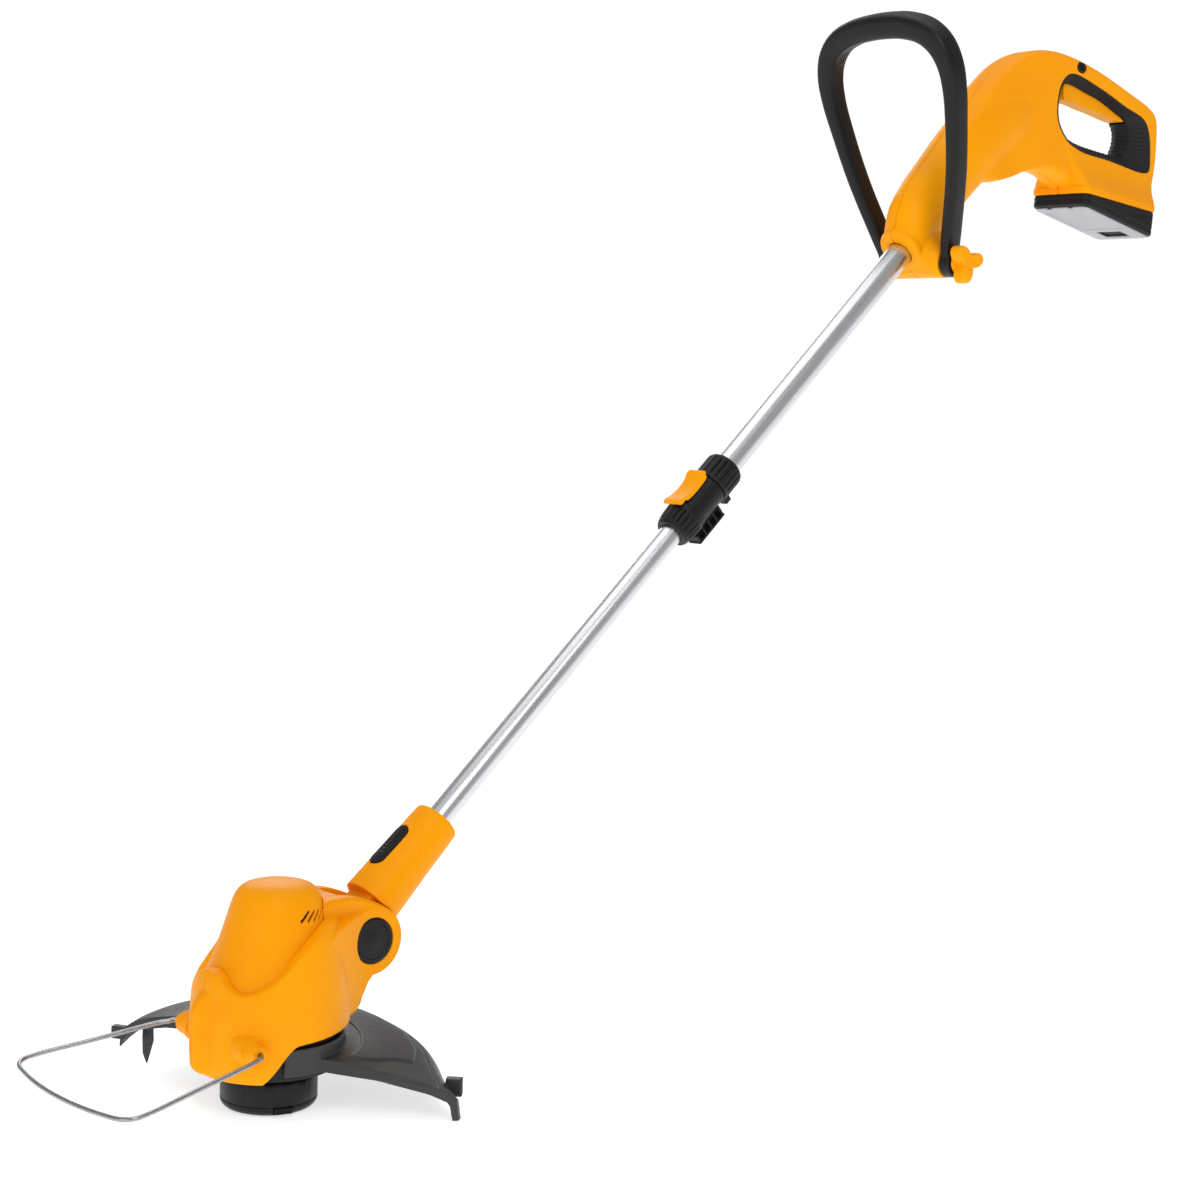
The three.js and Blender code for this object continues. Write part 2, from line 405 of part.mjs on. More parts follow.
// ================================================================ rear handle
// neck sections across the shaft: station, centre above axis, half width, half height
const NECK = [[872, 2, 21.5, 21.5], [880, 3, 22.5, 22.5], [892, 8, 24, 26.5], [906, 13, 25, 29], [935, 16, 26, 32], [962, 17, 27, 33], [1010, 18, 28, 35.5], [1046, 16, 28, 36], [1076, 10, 26, 34], [1100, 6, 23, 32], [1122, 2, 19.5, 28]];
const neckLoft = (off, from = 0, to = 9999) => loft(NECK.filter(([s]) => s >= from && s <= to)
  .map(([s, e, a, b]) => ring(S(s, e), V(1, 0, 0), S(0, 1).sub(S(0, 0)), a + off, b + off, 20, 0.9)));
const LOOP = [[815, 868], [838, 908], [862, 932], [885, 948], [912, 959], [944, 964], [979, 962], [1025, 953], [1080, 936], [1124, 920], [1134, 911], [1137, 890],
  [1136, 858], [1130, 830], [1122, 813], [1060, 819], [985, 826], [960, 835], [935, 838], [900, 832], [870, 822], [845, 820]];
const bev = (outline, cy, cz, k) => outline.map(([y, z]) => {
  const dy = y - cy, dz = z - cz, l = Math.hypot(dy, dz);
  return [y - (dy / l) * k, z - (dz / l) * k];
});
const at = (outline, x) => outline.map(([y, z]) => V(x, y, z));
const loopSolid = (w) => loft([at(bev(LOOP, 1000, 885, 8), -w), at(bev(LOOP, 1000, 885, 2.4), -w + 5), at(LOOP, -w + 12), at(LOOP, w - 12), at(bev(LOOP, 1000, 885, 2.4), w - 5), at(bev(LOOP, 1000, 885, 8), w)]);
const slope = (y) => BAT.z + (y - BAT.y) * Math.tan(rad(BAT.deg));
const shoe = loft([[0.3, 37.2, 986, 1117, 9], [7.5, 37.4, 986, 1117.4, 9], [9, 36, 987, 1117.6, 9], [18, 31, 984, 1121, 9], [30, 25.5, 976, 1126, 8], [44, 22, 968, 1128, 7]]
  .map(([dz, a, y0, y1, r]) => roundRect(-a, a, y0, y1, r, 0, 2).map((v) => V(v.x, v.y, slope(v.y) + dz))));
const OPEN = [[951, 912], [957, 931], [972, 942], [1022, 933], [1070, 918], [1108, 906], [1117, 893], [1121, 868], [1120, 852], [1108, 849], [1046, 857], [993, 863], [968, 873], [953, 891]];
const HOLE0 = [[961, 910], [967, 925], [980, 931], [1022, 922.5], [1060, 911], [1082, 903], [1089, 893], [1088, 880], [1080, 868], [1070, 866.5], [1042, 868], [996, 874], [976, 881], [963, 893]];
const insetOpen = bev(OPEN, 1036, 896, 2.4);
const holeLoft = loft([at(insetOpen, -30), at(insetOpen, -21), at(bev(HOLE0, 1036, 896, -4), -12), at(HOLE0, -4), at(HOLE0, 4), at(bev(HOLE0, 1036, 896, -4), 12), at(insetOpen, 21), at(insetOpen, 30)]);
const openSlab = slab(OPEN, -60, 60);
const triggerSlot = slab([[975, 900], [975, 945], [1010, 940], [1050, 930], [1092, 921], [1092, 900]], -9.5, 9.5);
const boltBoss = rodX(-34, 34, BOLT.y, BOLT.z, 14, 20);
const dockY = [-53, 90], dockTop = 12;
const dock = toPack(block(-32.8, 32.8, dockY[0], dockY[1], -5, dockTop));
const terminalBay = toPack(block(-26, 26, -40, -14, dockTop - 1, 23));
const flare = loft([[34, 767, 729.5, 14.6], [28, 766, 732.5, 17.4], [22, 764, 738, 22], [14, 761, 744, 26.5], [0, 759, 748, 29]]
  .flatMap(([x, y, z, r], i, a) => (i < 4 ? [[-x, y, z, r]] : [])).concat([[0, 759, 748, 29], [14, 761, 744, 26.5], [22, 764, 738, 22], [28, 766, 732.5, 17.4], [34, 767, 729.5, 14.6]])
  .map(([x, y, z, r]) => ring(V(x, y, z), V(0, 1, 0), V(0, 0, 1), r, r, 24)));
let handle = join(neckLoft(0), loopSolid(21.5), shoe, boltBoss, flare);
handle = cut(handle, openSlab, triggerSlot, dock, terminalBay,
  toShaft(rodZ(860, UPPER_S[1] + 0.6, UPPER_R + GAP, 24)),
  rodX(-60, 60, BOLT.y, BOLT.z, 4.3, 16),
  neckLoft(-2.6, 930, 1050),
  slab([[880, 870], [900, 925], [925, 942], [944, 944], [945, 900], [940, 860], [900, 850]], -19, 19),
  loft([ring(V(-40, 990, 950.4), V(0, 1, 0), V(0, 0, 1), 8.5, 6, 16), ring(V(40, 990, 950.4), V(0, 1, 0), V(0, 0, 1), 8.5, 6, 16)]),
  slab([[940, 900], [978, 925], [978, 940], [940, 935]], -7, 7));
const halfL = block(GAP / 2, 90, 600, 1300, 600, 1100), halfR = block(-90, -GAP / 2, 600, 1300, 600, 1100);
// screws that pull the halves together, let into the right half
const SCREWS = [[S(925, 33).y, S(925, 33).z], [S(985, -9).y, S(985, -9).z], [868, 905], [956, 950], [1126, 915], [1127, 838]];
const screwBores = SCREWS.map(([y, z]) => rodX(-60, -6, y, z, 2.9, 10));
const largest = (m) => m.decompose().reduce((a, b) => (a.volume() > b.volume() ? a : b));
add('handle_shell_left', largest(common(handle, halfL)), YELLOW);
add('handle_shell_right', largest(common(cut(handle, ...screwBores), halfR)), YELLOW);
SCREWS.forEach(([y, z], i) => add(`shell_screw_${i + 1}`, rodX(-15, -6.3, y, z, 2.5, 10), STEEL));
add('grip_liner', largest(cut(slab(bev(OPEN, 1036, 896, GAP), -21.2, 21.2), holeLoft, triggerSlot)), BLACK);
add('trigger', slab([[978, 918], [1000, 914.4], [1040, 909.6], [1076, 903.4], [1084, 903.4], [1089, 907], [1089, 914], [1040, 924], [978, 934.6]], -8.8, 8.8), YELLOW);
add('lock_off_button', loft([[-21.4, 0.8], [-20.4, 1], [20.4, 1], [21.4, 0.8]].map(([x, k]) => ring(V(x, 990, 950.4), V(0, 1, 0), V(0, 0, 1), 8.1 * k, 5.6 * k, 16))), BLACK);
add('trigger_switch', join(block(-6.4, 6.4, 920, 941, 906, 930), block(-4, 4, 940, 948, 920, 926)), BLACK);
add('control_board', block(-15, 15, 892, 917, 880, 881.8), GREEN);
add('terminal_block', toPack(join(block(-24, 24, -38, -16, dockTop + 0.6, 20), block(-18, -16, -36, -20, 19, 22), block(16, 18, -36, -20, 19, 22))), BRASS);
add('handle_bolt', join(rodX(-51, 61, BOLT.y, BOLT.z, 4, 14), rodX(-52, -48, BOLT.y, BOLT.z, 7.5, 6)), STEEL);
// star knob, three lobes
{
  const out = [];
  for (let i = 0; i < 24; i++) {
    const a = (2 * Math.PI * i) / 24, r = 14.6 + 6.6 * Math.cos(3 * a);
    out.push([BOLT.y + r * Math.cos(a + 0.28), BOLT.z + r * Math.sin(a + 0.28)]);
  }
  const inner = bev(out, BOLT.y, BOLT.z, 1.6);
  add('star_knob', cut(join(rodX(48.2, 53, BOLT.y, BOLT.z, 10.5, 16), loft([at(inner, 51.5), at(out, 53.5), at(out, 64), at(inner, 66)])), rodX(40, 62, BOLT.y, BOLT.z, 4.4, 14)), YELLOW);
}
// loop handle: centre line in its own plane (x, distance up), half sizes in and across the plane
{
  const up = V(0, Math.cos(rad(LOOP_ANGLE)), Math.sin(rad(LOOP_ANGLE)));
  const nrm = V(0, -Math.sin(rad(LOOP_ANGLE)), Math.cos(rad(LOOP_ANGLE)));
  const O = V(0, BOLT.y, BOLT.z);
  const half = [[41.2, 2, 5.8, 11], [41.6, 14, 6.2, 11.4], [45.6, 28, 6.8, 11.6], [53, 51, 7, 11.6], [59.6, 72, 7.1, 11.6], [66.6, 98, 7.3, 11.8], [74.6, 138, 7.8, 12], [79.4, 170, 8.8, 12.4], [78.8, 196, 10.2, 13],
    [71, 216, 11.6, 13.6], [56, 230, 12.4, 14], [34, 237.6, 12.7, 14], [12, 240, 12.7, 14]];
  const line = [...half, ...half.slice().reverse().map(([x, s, a, b]) => [-x, s, a, b])];
  const P = line.map(([x, s]) => O.clone().addScaledVector(up, s).add(V(x, 0, 0)));
  const rings = P.map((p, i) => {
    const t = P[Math.min(P.length - 1, i + 1)].clone().sub(P[Math.max(0, i - 1)]).normalize();
    const inPlane = nrm.clone().cross(t).normalize();
    return ring(p, inPlane, nrm, line[i][2], line[i][3], 10, 0.85);
  });
  const eyes = [1, -1].map((s) => rodX(s * 35, s * 47.2, BOLT.y, BOLT.z, 14, 20));
  add('loop_handle', cut(join(loft(rings), ...eyes), rodX(-60, 60, BOLT.y, BOLT.z, 4.3, 14)), BLACK);
}

// ================================================================ battery
{
  const low = (y) => -12.5 - (y + 62) * 0.1133;
  const W = BAT.w / 2;
  const floorOf = (y) => low(y);
  const outer = loft([roundRect(-W, W, -62, 66, 9, 0, 4).map((v) => V(v.x, v.y, floorOf(v.y) + 2)), roundRect(-W, W, -62, 66, 9, 0, 4)]);
  const foot = loft([roundRect(-W + 2.4, W - 2.4, -59.6, 63.6, 8, 0, 4).map((v) => V(v.x, v.y, floorOf(v.y))), roundRect(-W, W, -62, 66, 9, 0, 4).map((v) => V(v.x, v.y, floorOf(v.y) + 2))]);
  const tower = loft([roundRect(-32.2, 32.2, -52, 62, 4, -2), roundRect(-32.2, 32.2, -52, 62, 4, 11.2)]);
  const cellsBay = block(-33.6, 33.6, -50, 56, -40, 0.1).clone();
  add('battery_case', cut(join(outer, foot, tower), block(-31, 31, -50.4, 57, -45, 9.6)), BLACK, pack);
  const plate = loft([-1.9, -0.3].map((dz) => roundRect(-34.4, 34.4, -58, 61, 7, 0).map((v) => V(v.x, v.y, floorOf(v.y) + dz))));
  const latchHole = block(-16.4, 16.4, 31.6, 52.4, -60, 0);
  const notch = [-14, 14].map((x) => block(x - 3, x + 3, -60, -55.6, -30, 0));
  add('battery_plate', cut(plate, latchHole, ...notch), GREY, pack);
  for (let i = 0; i < 5; i++) add(`battery_cell_${i + 1}`, rodX(-30.6, 30.6, -40.4 + 19.4 * i, 0, 9.1, 14), CELL, pack);
  add('battery_latch', slab([[33, floorOf(33) + 0.4], [51, floorOf(51) + 0.4], [51, floorOf(51) + 3.4], [33, floorOf(33) + 3.4]], -15.6, 15.6), BLACK, pack);
}

export default root;
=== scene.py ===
import bpy, bmesh, math, json
import numpy as np
from mathutils import Matrix, Vector

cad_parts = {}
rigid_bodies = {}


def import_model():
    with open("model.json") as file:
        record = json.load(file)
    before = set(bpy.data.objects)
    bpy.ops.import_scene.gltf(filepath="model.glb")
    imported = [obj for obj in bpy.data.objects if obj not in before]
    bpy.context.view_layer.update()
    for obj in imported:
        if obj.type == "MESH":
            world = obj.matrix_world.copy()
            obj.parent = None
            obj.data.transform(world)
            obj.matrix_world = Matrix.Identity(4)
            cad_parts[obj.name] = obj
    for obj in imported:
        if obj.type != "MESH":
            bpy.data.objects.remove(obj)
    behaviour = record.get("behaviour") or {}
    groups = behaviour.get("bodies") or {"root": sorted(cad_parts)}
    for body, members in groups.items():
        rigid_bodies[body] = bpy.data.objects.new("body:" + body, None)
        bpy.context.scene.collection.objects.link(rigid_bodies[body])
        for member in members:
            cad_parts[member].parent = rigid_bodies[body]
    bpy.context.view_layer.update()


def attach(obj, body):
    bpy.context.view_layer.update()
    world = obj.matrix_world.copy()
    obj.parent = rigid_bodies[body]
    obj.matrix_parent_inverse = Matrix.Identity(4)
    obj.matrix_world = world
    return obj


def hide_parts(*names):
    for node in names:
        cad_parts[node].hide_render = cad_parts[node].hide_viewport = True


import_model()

C = bpy.context.scene.collection
rad = math.radians
A3 = lambda *v: np.array(v, float)

# ---------------------------------------------------------------- camera
def camera():
    cam = bpy.data.cameras.new("cam")
    cam.lens = 2206.55 / 1200 * 36
    cam.sensor_width = cam.sensor_height = 36
    cam.sensor_fit = 'HORIZONTAL'
    cam.clip_start, cam.clip_end = 0.01, 50
    A, e, rho = rad(48.7545), rad(5.5357), rad(1.7422)
    r = A3(math.cos(A), math.sin(A), 0)
    u = A3(-math.sin(A) * math.sin(e), math.cos(A) * math.sin(e), math.cos(e))
    b = A3(math.sin(A) * math.cos(e), -math.cos(A) * math.cos(e), math.sin(e))
    r2 = math.cos(rho) * r + math.sin(rho) * u
    u2 = -math.sin(rho) * r + math.cos(rho) * u
    o = bpy.data.objects.new("cam", cam)
    M = Matrix.Identity(4)
    for i in range(3):
        M[i][0], M[i][1], M[i][2] = r2[i], u2[i], b[i]
    M[0][3], M[1][3], M[2][3] = 1.501, -0.970, 0.596
    o.matrix_world = M
    C.objects.link(o)
    bpy.context.scene.camera = o
camera()

# ---------------------------------------------------------------- mesh kit, in mm
def mesh_obj(name, V, F):
    me = bpy.data.meshes.new(name)
    me.from_pydata((np.asarray(V, float) * 0.001).tolist(), [], [list(map(int, f)) for f in F])
    me.validate()
    bm = bmesh.new(); bm.from_mesh(me)
    bmesh.ops.remove_doubles(bm, verts=bm.verts, dist=1e-6)
    bmesh.ops.recalc_face_normals(bm, faces=bm.faces)
    bm.to_mesh(me); bm.free()
    o = bpy.data.objects.new(name, me)
    C.objects.link(o)
    return o

def apply(o):
    bpy.context.view_layer.update()
    e = o.evaluated_get(bpy.context.evaluated_depsgraph_get())
    me = bpy.data.meshes.new_from_object(e)
    o.modifiers.clear()
    old = o.data; o.data = me; me.name = o.name
    bpy.data.meshes.remove(old)
    return o

def boolean(a, b, op, keep=False):
    m = a.modifiers.new("b", "BOOLEAN")
    m.object, m.operation, m.solver = b, op, 'MANIFOLD'
    apply(a)
    if not keep:
        bpy.data.objects.remove(b, do_unlink=True)
    return a
def join(a, *bs):
    for b in bs: boolean(a, b, 'UNION')
    return a
def cut(a, *bs):
    for b in bs: boolean(a, b, 'DIFFERENCE')
    return a
def common(a, b, keep=False): return boolean(a, b, 'INTERSECT', keep)
def copy(o, name):
    c = o.copy(); c.data = o.data.copy(); c.name = name; C.objects.link(c); return c

def loft(rings, wrap=False):
    R = [np.asarray(r, float) for r in rings]
    n, m = len(R[0]), len(R)
    V = np.vstack(R); F = []
    for i in range(m if wrap else m - 1):
        k = (i + 1) % m
        for j in range(n):
            j2 = (j + 1) % n
            F.append((i * n + j, i * n + j2, k * n + j2, k * n + j))
    if not wrap:
        F.append(tuple(range(n))[::-1]); F.append(tuple((m - 1) * n + j for j in range(n)))
    return mesh_obj("t", V, F)

def cr(P, per, closed=False):
    """smooth curve through points, `per` steps for each span"""
    P = np.asarray(P, float); n = len(P); out = []
    spans = n if closed else n - 1
    def g(i): return P[i % n] if closed else P[min(max(i, 0), n - 1)]
    for i in range(spans):
        p0, p1, p2, p3 = g(i - 1), g(i), g(i + 1), g(i + 2)
        if not closed and i == 0: p0 = 2 * p1 - p2
        if not closed and i == n - 2: p3 = 2 * p2 - p1
        d = [max(np.linalg.norm(b - a), 1e-6) ** 0.5 for a, b in ((p0, p1), (p1, p2), (p2, p3))]
        m1 = (p1 - p0) / d[0] - (p2 - p0) / (d[0] + d[1]) + (p2 - p1) / d[1]
        m2 = (p2 - p1) / d[1] - (p3 - p1) / (d[1] + d[2]) + (p3 - p2) / d[2]
        m1, m2 = m1 * d[1], m2 * d[1]
        for k in range(per):
            t = k / per
            out.append((2 * t**3 - 3 * t**2 + 1) * p1 + (t**3 - 2 * t**2 + t) * m1 + (-2 * t**3 + 3 * t**2) * p2 + (t**3 - t**2) * m2)
    if not closed: out.append(P[-1])
    return np.array(out)

def pch(tab, x):
    """smooth monotone lookup"""
    t = np.asarray(tab, float); X, Y = t[:, 0], t[:, 1]
    if x <= X[0]: return Y[0]
    if x >= X[-1]: return Y[-1]
    h = np.diff(X); d = np.diff(Y) / h; m = np.zeros(len(X)); m[0], m[-1] = d[0], d[-1]
    for i in range(1, len(X) - 1):
        if d[i - 1] * d[i] > 0:
            w1, w2 = 2 * h[i] + h[i - 1], h[i] + 2 * h[i - 1]
            m[i] = (w1 + w2) / (w1 / d[i - 1] + w2 / d[i])
    i = min(np.searchsorted(X, x, side='right') - 1, len(h) - 1); s = (x - X[i]) / h[i]
    return (2*s**3-3*s**2+1)*Y[i] + (s**3-2*s**2+s)*h[i]*m[i] + (-2*s**3+3*s**2)*Y[i+1] + (s**3-s**2)*h[i]*m[i+1]

def ring(c, u, v, a, b, seg=72, e=1.0):
    t = np.linspace(0, 2 * math.pi, seg, endpoint=False)
    f = lambda q: np.sign(q) * np.abs(q) ** e
    return np.asarray(c, float) + np.outer(a * f(np.cos(t)), u) + np.outer(b * f(np.sin(t)), v)
EX, EY, EZ = A3(1, 0, 0), A3(0, 1, 0), A3(0, 0, 1)
def rodX(x0, x1, y, z, r, seg=64, r1=None, ch=0):
    r1 = r if r1 is None else r1
    if ch:
        s = 1 if x1 > x0 else -1
        L = [(x0, r - ch), (x0 + s * ch, r), (x1 - s * ch, r1), (x1, r1 - ch)]
    else: L = [(x0, r), (x1, r1)]
    return loft([ring((x, y, z), EY, EZ, q, q, seg) for x, q in L])
def rodZ(z0, z1, r, seg=64, x=0, y=0): return loft([ring((x, y, z0), EX, EY, r, r, seg), ring((x, y, z1), EX, EY, r, r, seg)])
def turned(prof, seg=96, xf=None, rad_fn=None):
    """closed profile of [r, z] turned round Z"""
    t = np.linspace(0, 2 * math.pi, seg, endpoint=False)
    cols = []
    for r, z in prof:
        rr = np.full(seg, float(r)) if rad_fn is None else r + rad_fn(r, z, t)
        cols.append(np.c_[rr * np.cos(t), rr * np.sin(t), np.full(seg, float(z))])
    o_open = prof[0][0] == 0
    if xf: cols = [xf(c) for c in cols]
    return loft(cols, wrap=not o_open)
def slab(outline, x0, x1):
    o = np.asarray(outline, float)
    return loft([np.c_[np.full(len(o), x), o] for x in (x0, x1)])
def block(x0, x1, y0, y1, z0, z1): return slab([(y0, z0), (y1, z0), (y1, z1), (y0, z1)], x0, x1)
def inset(outline, k):
    """outline moved in by k along its own normals"""
    o = np.asarray(outline, float)
    a = np.roll(o, 1, 0); b = np.roll(o, -1, 0); t = b - a; t /= np.linalg.norm(t, axis=1)[:, None]
    n = np.c_[-t[:, 1], t[:, 0]]
    area = np.sum(o[:, 0] * np.roll(o[:, 1], -1) - np.roll(o[:, 0], -1) * o[:, 1])
    return o + n * k * (1 if area > 0 else -1)
def at(o, x): o = np.asarray(o, float); return np.c_[np.full(len(o), x), o]
def rrect(x0, x1, y0, y1, r, k=8):
    out = []
    for cx, cy, a0 in ((x1 - r, y0 + r, -90), (x1 - r, y1 - r, 0), (x0 + r, y1 - r, 90), (x0 + r, y0 + r, 180)):
        for i in range(k + 1):
            a = rad(a0 + 90 * i / k); out.append((cx + r * math.cos(a), cy + r * math.sin(a)))
    return np.array(out)
SH = rad(42.46); DV = A3(0, math.cos(SH), math.sin(SH)); NV = A3(0, -math.sin(SH), math.cos(SH)); S0 = A3(0, 91.8, 150)
def S(s, h=0, x=0): return S0 + DV * s + NV * h + EX * x
def sh(P): P = np.asarray(P, float); return S0 + np.outer(P[:, 0], EX) - np.outer(P[:, 1], NV) + np.outer(P[:, 2], DV)
BD = rad(-5.48); BY, BZ = A3(0, math.cos(BD), math.sin(BD)), A3(0, -math.sin(BD), math.cos(BD)); B0 = A3(0, 1050, 811.3)
def pk(P): P = np.asarray(P, float); return B0 + np.outer(P[:, 0], EX) + np.outer(P[:, 1], BY) + np.outer(P[:, 2], BZ)
def xf(o, fn):
    me = o.data; n = len(me.vertices); a = np.empty(n * 3); me.vertices.foreach_get("co", a)
    b = fn(a.reshape(-1, 3) * 1000) * 0.001; me.vertices.foreach_set("co", b.ravel()); me.update(); return o

def soften(o, voxel, it=3, up=1.0):
    """round every edge: fine remesh, then relax"""
    m = o.modifiers.new("r", "REMESH"); m.mode = 'VOXEL'; m.voxel_size = voxel * 0.001 * 1; m.adaptivity = 0
    m.use_smooth_shade = True
    s = o.modifiers.new("s", "SMOOTH"); s.factor = 0.5; s.iterations = it
    apply(o); return o
def largest(o):
    bm = bmesh.new(); bm.from_mesh(o.data); bm.verts.ensure_lookup_table()
    seen, best = set(), []
    for v in bm.verts:
        if v.index in seen: continue
        st, comp = [v], []; seen.add(v.index)
        while st:
            w = st.pop(); comp.append(w)
            for e in w.link_edges:
                q = e.other_vert(w)
                if q.index not in seen: seen.add(q.index); st.append(q)
        if len(comp) > len(best): best = comp
    keep = {v.index for v in best}
    bmesh.ops.delete(bm, geom=[v for v in bm.verts if v.index not in keep], context='VERTS')
    bm.to_mesh(o.data); bm.free(); return o
def smooth_shade(o, angle=35):
    me = o.data
    me.polygons.foreach_set("use_smooth", [True] * len(me.polygons))
    bm = bmesh.new(); bm.from_mesh(me)
    for e in bm.edges:
        e.smooth = not (len(e.link_faces) == 2 and e.calc_face_angle(0) > rad(angle))
    bm.to_mesh(me); bm.free(); return o
def bevel(o, w, seg=2, angle=35):
    m = o.modifiers.new("v", "BEVEL"); m.width = w * 0.001; m.segments = seg; m.limit_method = 'ANGLE'; m.angle_limit = rad(angle)
    m.use_clamp_overlap = True
    apply(o); return o

def piece(o, name, body, slot, mat, *nodes, angle=None):
    o.name = name; o.data.name = name
    o.data.materials.clear(); o.data.materials.append(mat)
    smooth_shade(o, angle or 40)
    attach(o, body)
    if nodes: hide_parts(*nodes)
    return o

# ---------------------------------------------------------------- materials
def lin(c): return tuple(((v / 12.92) if v <= 0.04045 else ((v + 0.055) / 1.055) ** 2.4) for v in [q / 255 for q in c])
class N:
    def __init__(s, name):
        s.m = bpy.data.materials.new(name); s.m.use_nodes = True; s.t = s.m.node_tree; s.t.nodes.clear()
        s.out = s.t.nodes.new("ShaderNodeOutputMaterial"); s.b = s.t.nodes.new("ShaderNodeBsdfPrincipled")
        s.t.links.new(s.b.outputs[0], s.out.inputs[0]); s.co = s.t.nodes.new("ShaderNodeTexCoord").outputs["Object"]
    def link(s, a, b): s.t.links.new(a, b)
    def mapv(s, scale, rot=(0, 0, 0)):
        n = s.t.nodes.new("ShaderNodeMapping"); n.inputs["Scale"].default_value = scale; n.inputs["Rotation"].default_value = rot
        s.link(s.co, n.inputs["Vector"]); return n.outputs[0]
    def noise(s, scale, detail=4, rough=0.55, vec=None, dist=0):
        n = s.t.nodes.new("ShaderNodeTexNoise"); n.inputs["Scale"].default_value = scale; n.inputs["Detail"].default_value = detail
        n.inputs["Roughness"].default_value = rough; n.inputs["Distortion"].default_value = dist
        s.link(vec or s.co, n.inputs["Vector"]); return n.outputs["Fac"]
    def vor(s, scale, vec=None, out="Distance"):
        n = s.t.nodes.new("ShaderNodeTexVoronoi"); n.inputs["Scale"].default_value = scale
        s.link(vec or s.co, n.inputs["Vector"]); return n.outputs[out]
    def ramp(s, f, *st):
        n = s.t.nodes.new("ShaderNodeMapRange"); n.inputs["From Min"].default_value, n.inputs["From Max"].default_value = st[0], st[1]
        n.inputs["To Min"].default_value, n.inputs["To Max"].default_value = st[2], st[3]; s.link(f, n.inputs["Value"]); return n.outputs[0]
    def math(s, op, a, b):
        n = s.t.nodes.new("ShaderNodeMath"); n.operation = op
        for i, v in enumerate((a, b)):
            if isinstance(v, (int, float)): n.inputs[i].default_value = v
            else: s.link(v, n.inputs[i])
        return n.outputs[0]
    def mix(s, f, a, b):
        n = s.t.nodes.new("ShaderNodeMix"); n.data_type = 'RGBA'
        s.link(f, n.inputs[0])
        for k, v in ((6, a), (7, b)):
            if isinstance(v, tuple): n.inputs[k].default_value = (*v, 1)
            else: s.link(v, n.inputs[k])
        return n.outputs[2]
    def bump(s, h, dist, strength=1.0, prev=None):
        n = s.t.nodes.new("ShaderNodeBump"); n.inputs["Distance"].default_value = dist; n.inputs["Strength"].default_value = strength
        s.link(h, n.inputs["Height"])
        if prev: s.link(prev, n.inputs["Normal"])
        s.link(n.outputs[0], s.b.inputs["Normal"]); return n.outputs[0]
    def edge(s, lo=0.52, hi=0.6):
        g = s.t.nodes.new("ShaderNodeNewGeometry"); return s.ramp(g.outputs["Pointiness"], lo, hi, 0, 1)

def plastic(name, col, dark, light, rough, grain=0.000015, gscale=1500, spec=0.4, wear=0.35, coat=0.0):
    """moulded plastic: spark-eroded grain, faint flow marks, rubbed edges, fine scuffs"""
    m = N(name)
    big = m.noise(9, 3); fine = m.noise(gscale, 3, 0.6); mid = m.noise(140, 4, 0.6)
    base = m.mix(m.ramp(big, 0.35, 0.65, 0, 1), lin(dark), lin(col))
    scuff_v = m.mapv((60, 900, 300), (0.4, 0.2, 0.9)); sc = m.noise(1.0, 5, 0.7, scuff_v, 1.5)
    scuff = m.ramp(sc, 0.66, 0.76, 0, 1)
    wearf = m.math('MULTIPLY', m.math('MULTIPLY', m.edge(), m.ramp(mid, 0.4, 0.65, 0, 1)), wear)
    f = m.math('MAXIMUM', wearf, m.math('MULTIPLY', scuff, 0.16))
    m.link(m.mix(f, base, lin(light)), m.b.inputs["Base Color"])
    r = m.math('ADD', m.ramp(mid, 0.3, 0.7, rough - 0.05, rough + 0.06), m.math('MULTIPLY', scuff, 0.10))
    m.link(r, m.b.inputs["Roughness"])
    n1 = m.bump(m.vor(gscale * 0.7), grain, 0.6)
    m.bump(m.math('ADD', fine, m.math('MULTIPLY', scuff, -0.4)), grain, 0.9, n1)
    m.b.inputs["Specular IOR Level"].default_value = spec
    m.b.inputs["Coat Weight"].default_value = coat; m.b.inputs["Coat Roughness"].default_value = 0.25
    return m.m
def metal(name, col, dark, rough, scale=(1, 1, 1), rot=(0, 0, 0), lines=700, grime=0.25, bumps=0.000008, var=1.0):
    m = N(name); v = m.mapv(scale, rot)
    if rot[0]: getattr(v, "node", v).vector_type = "TEXTURE"
    st = m.noise(lines, 4, 0.6, v); big = m.noise(22, 4, 0.6); spots = m.noise(420, 3, 0.6)
    c = m.mix(m.ramp(st, 0.35, 0.65, 0, 1), lin(dark), lin(col))
    g = m.math('MULTIPLY', m.ramp(big, 0.52, 0.72, 0, 1), grime)
    m.link(m.mix(g, c, tuple(v * 0.45 for v in lin(dark))), m.b.inputs["Base Color"])
    m.b.inputs["Metallic"].default_value = 1.0
    r = m.math('ADD', m.ramp(st, 0.3, 0.7, rough - 0.06 * var, rough + 0.08 * var), m.math('MULTIPLY', m.ramp(spots, 0.55, 0.7, 0, 1), 0.08))
    m.link(r, m.b.inputs["Roughness"]); m.bump(st, bumps, 0.5)
    return m.m
YEL = plastic("yellow_abs", (251, 163, 0), (246, 155, 0), (255, 180, 20), 0.40, grain=0.000010, gscale=1500, spec=0.09, wear=0.2)
BLK = plastic("black_nylon", (22, 22, 24), (17, 17, 19), (66, 66, 70), 0.44, grain=0.000022, gscale=1300, spec=0.22, wear=0.4)
SAT = plastic("satin_black", (20, 20, 21), (16, 16, 17), (60, 60, 63), 0.38, grain=0.000012, gscale=1700, spec=0.24, wear=0.3)
RUB = plastic("soft_liner", (26, 26, 28), (20, 20, 22), (62, 62, 66), 0.62, grain=0.00003, gscale=1000, spec=0.3, wear=0.3)
GRD = plastic("guard_grey", (52, 51, 51), (43, 42, 42), (96, 95, 95), 0.42, grain=0.000024, gscale=1200, spec=0.4, wear=0.4)
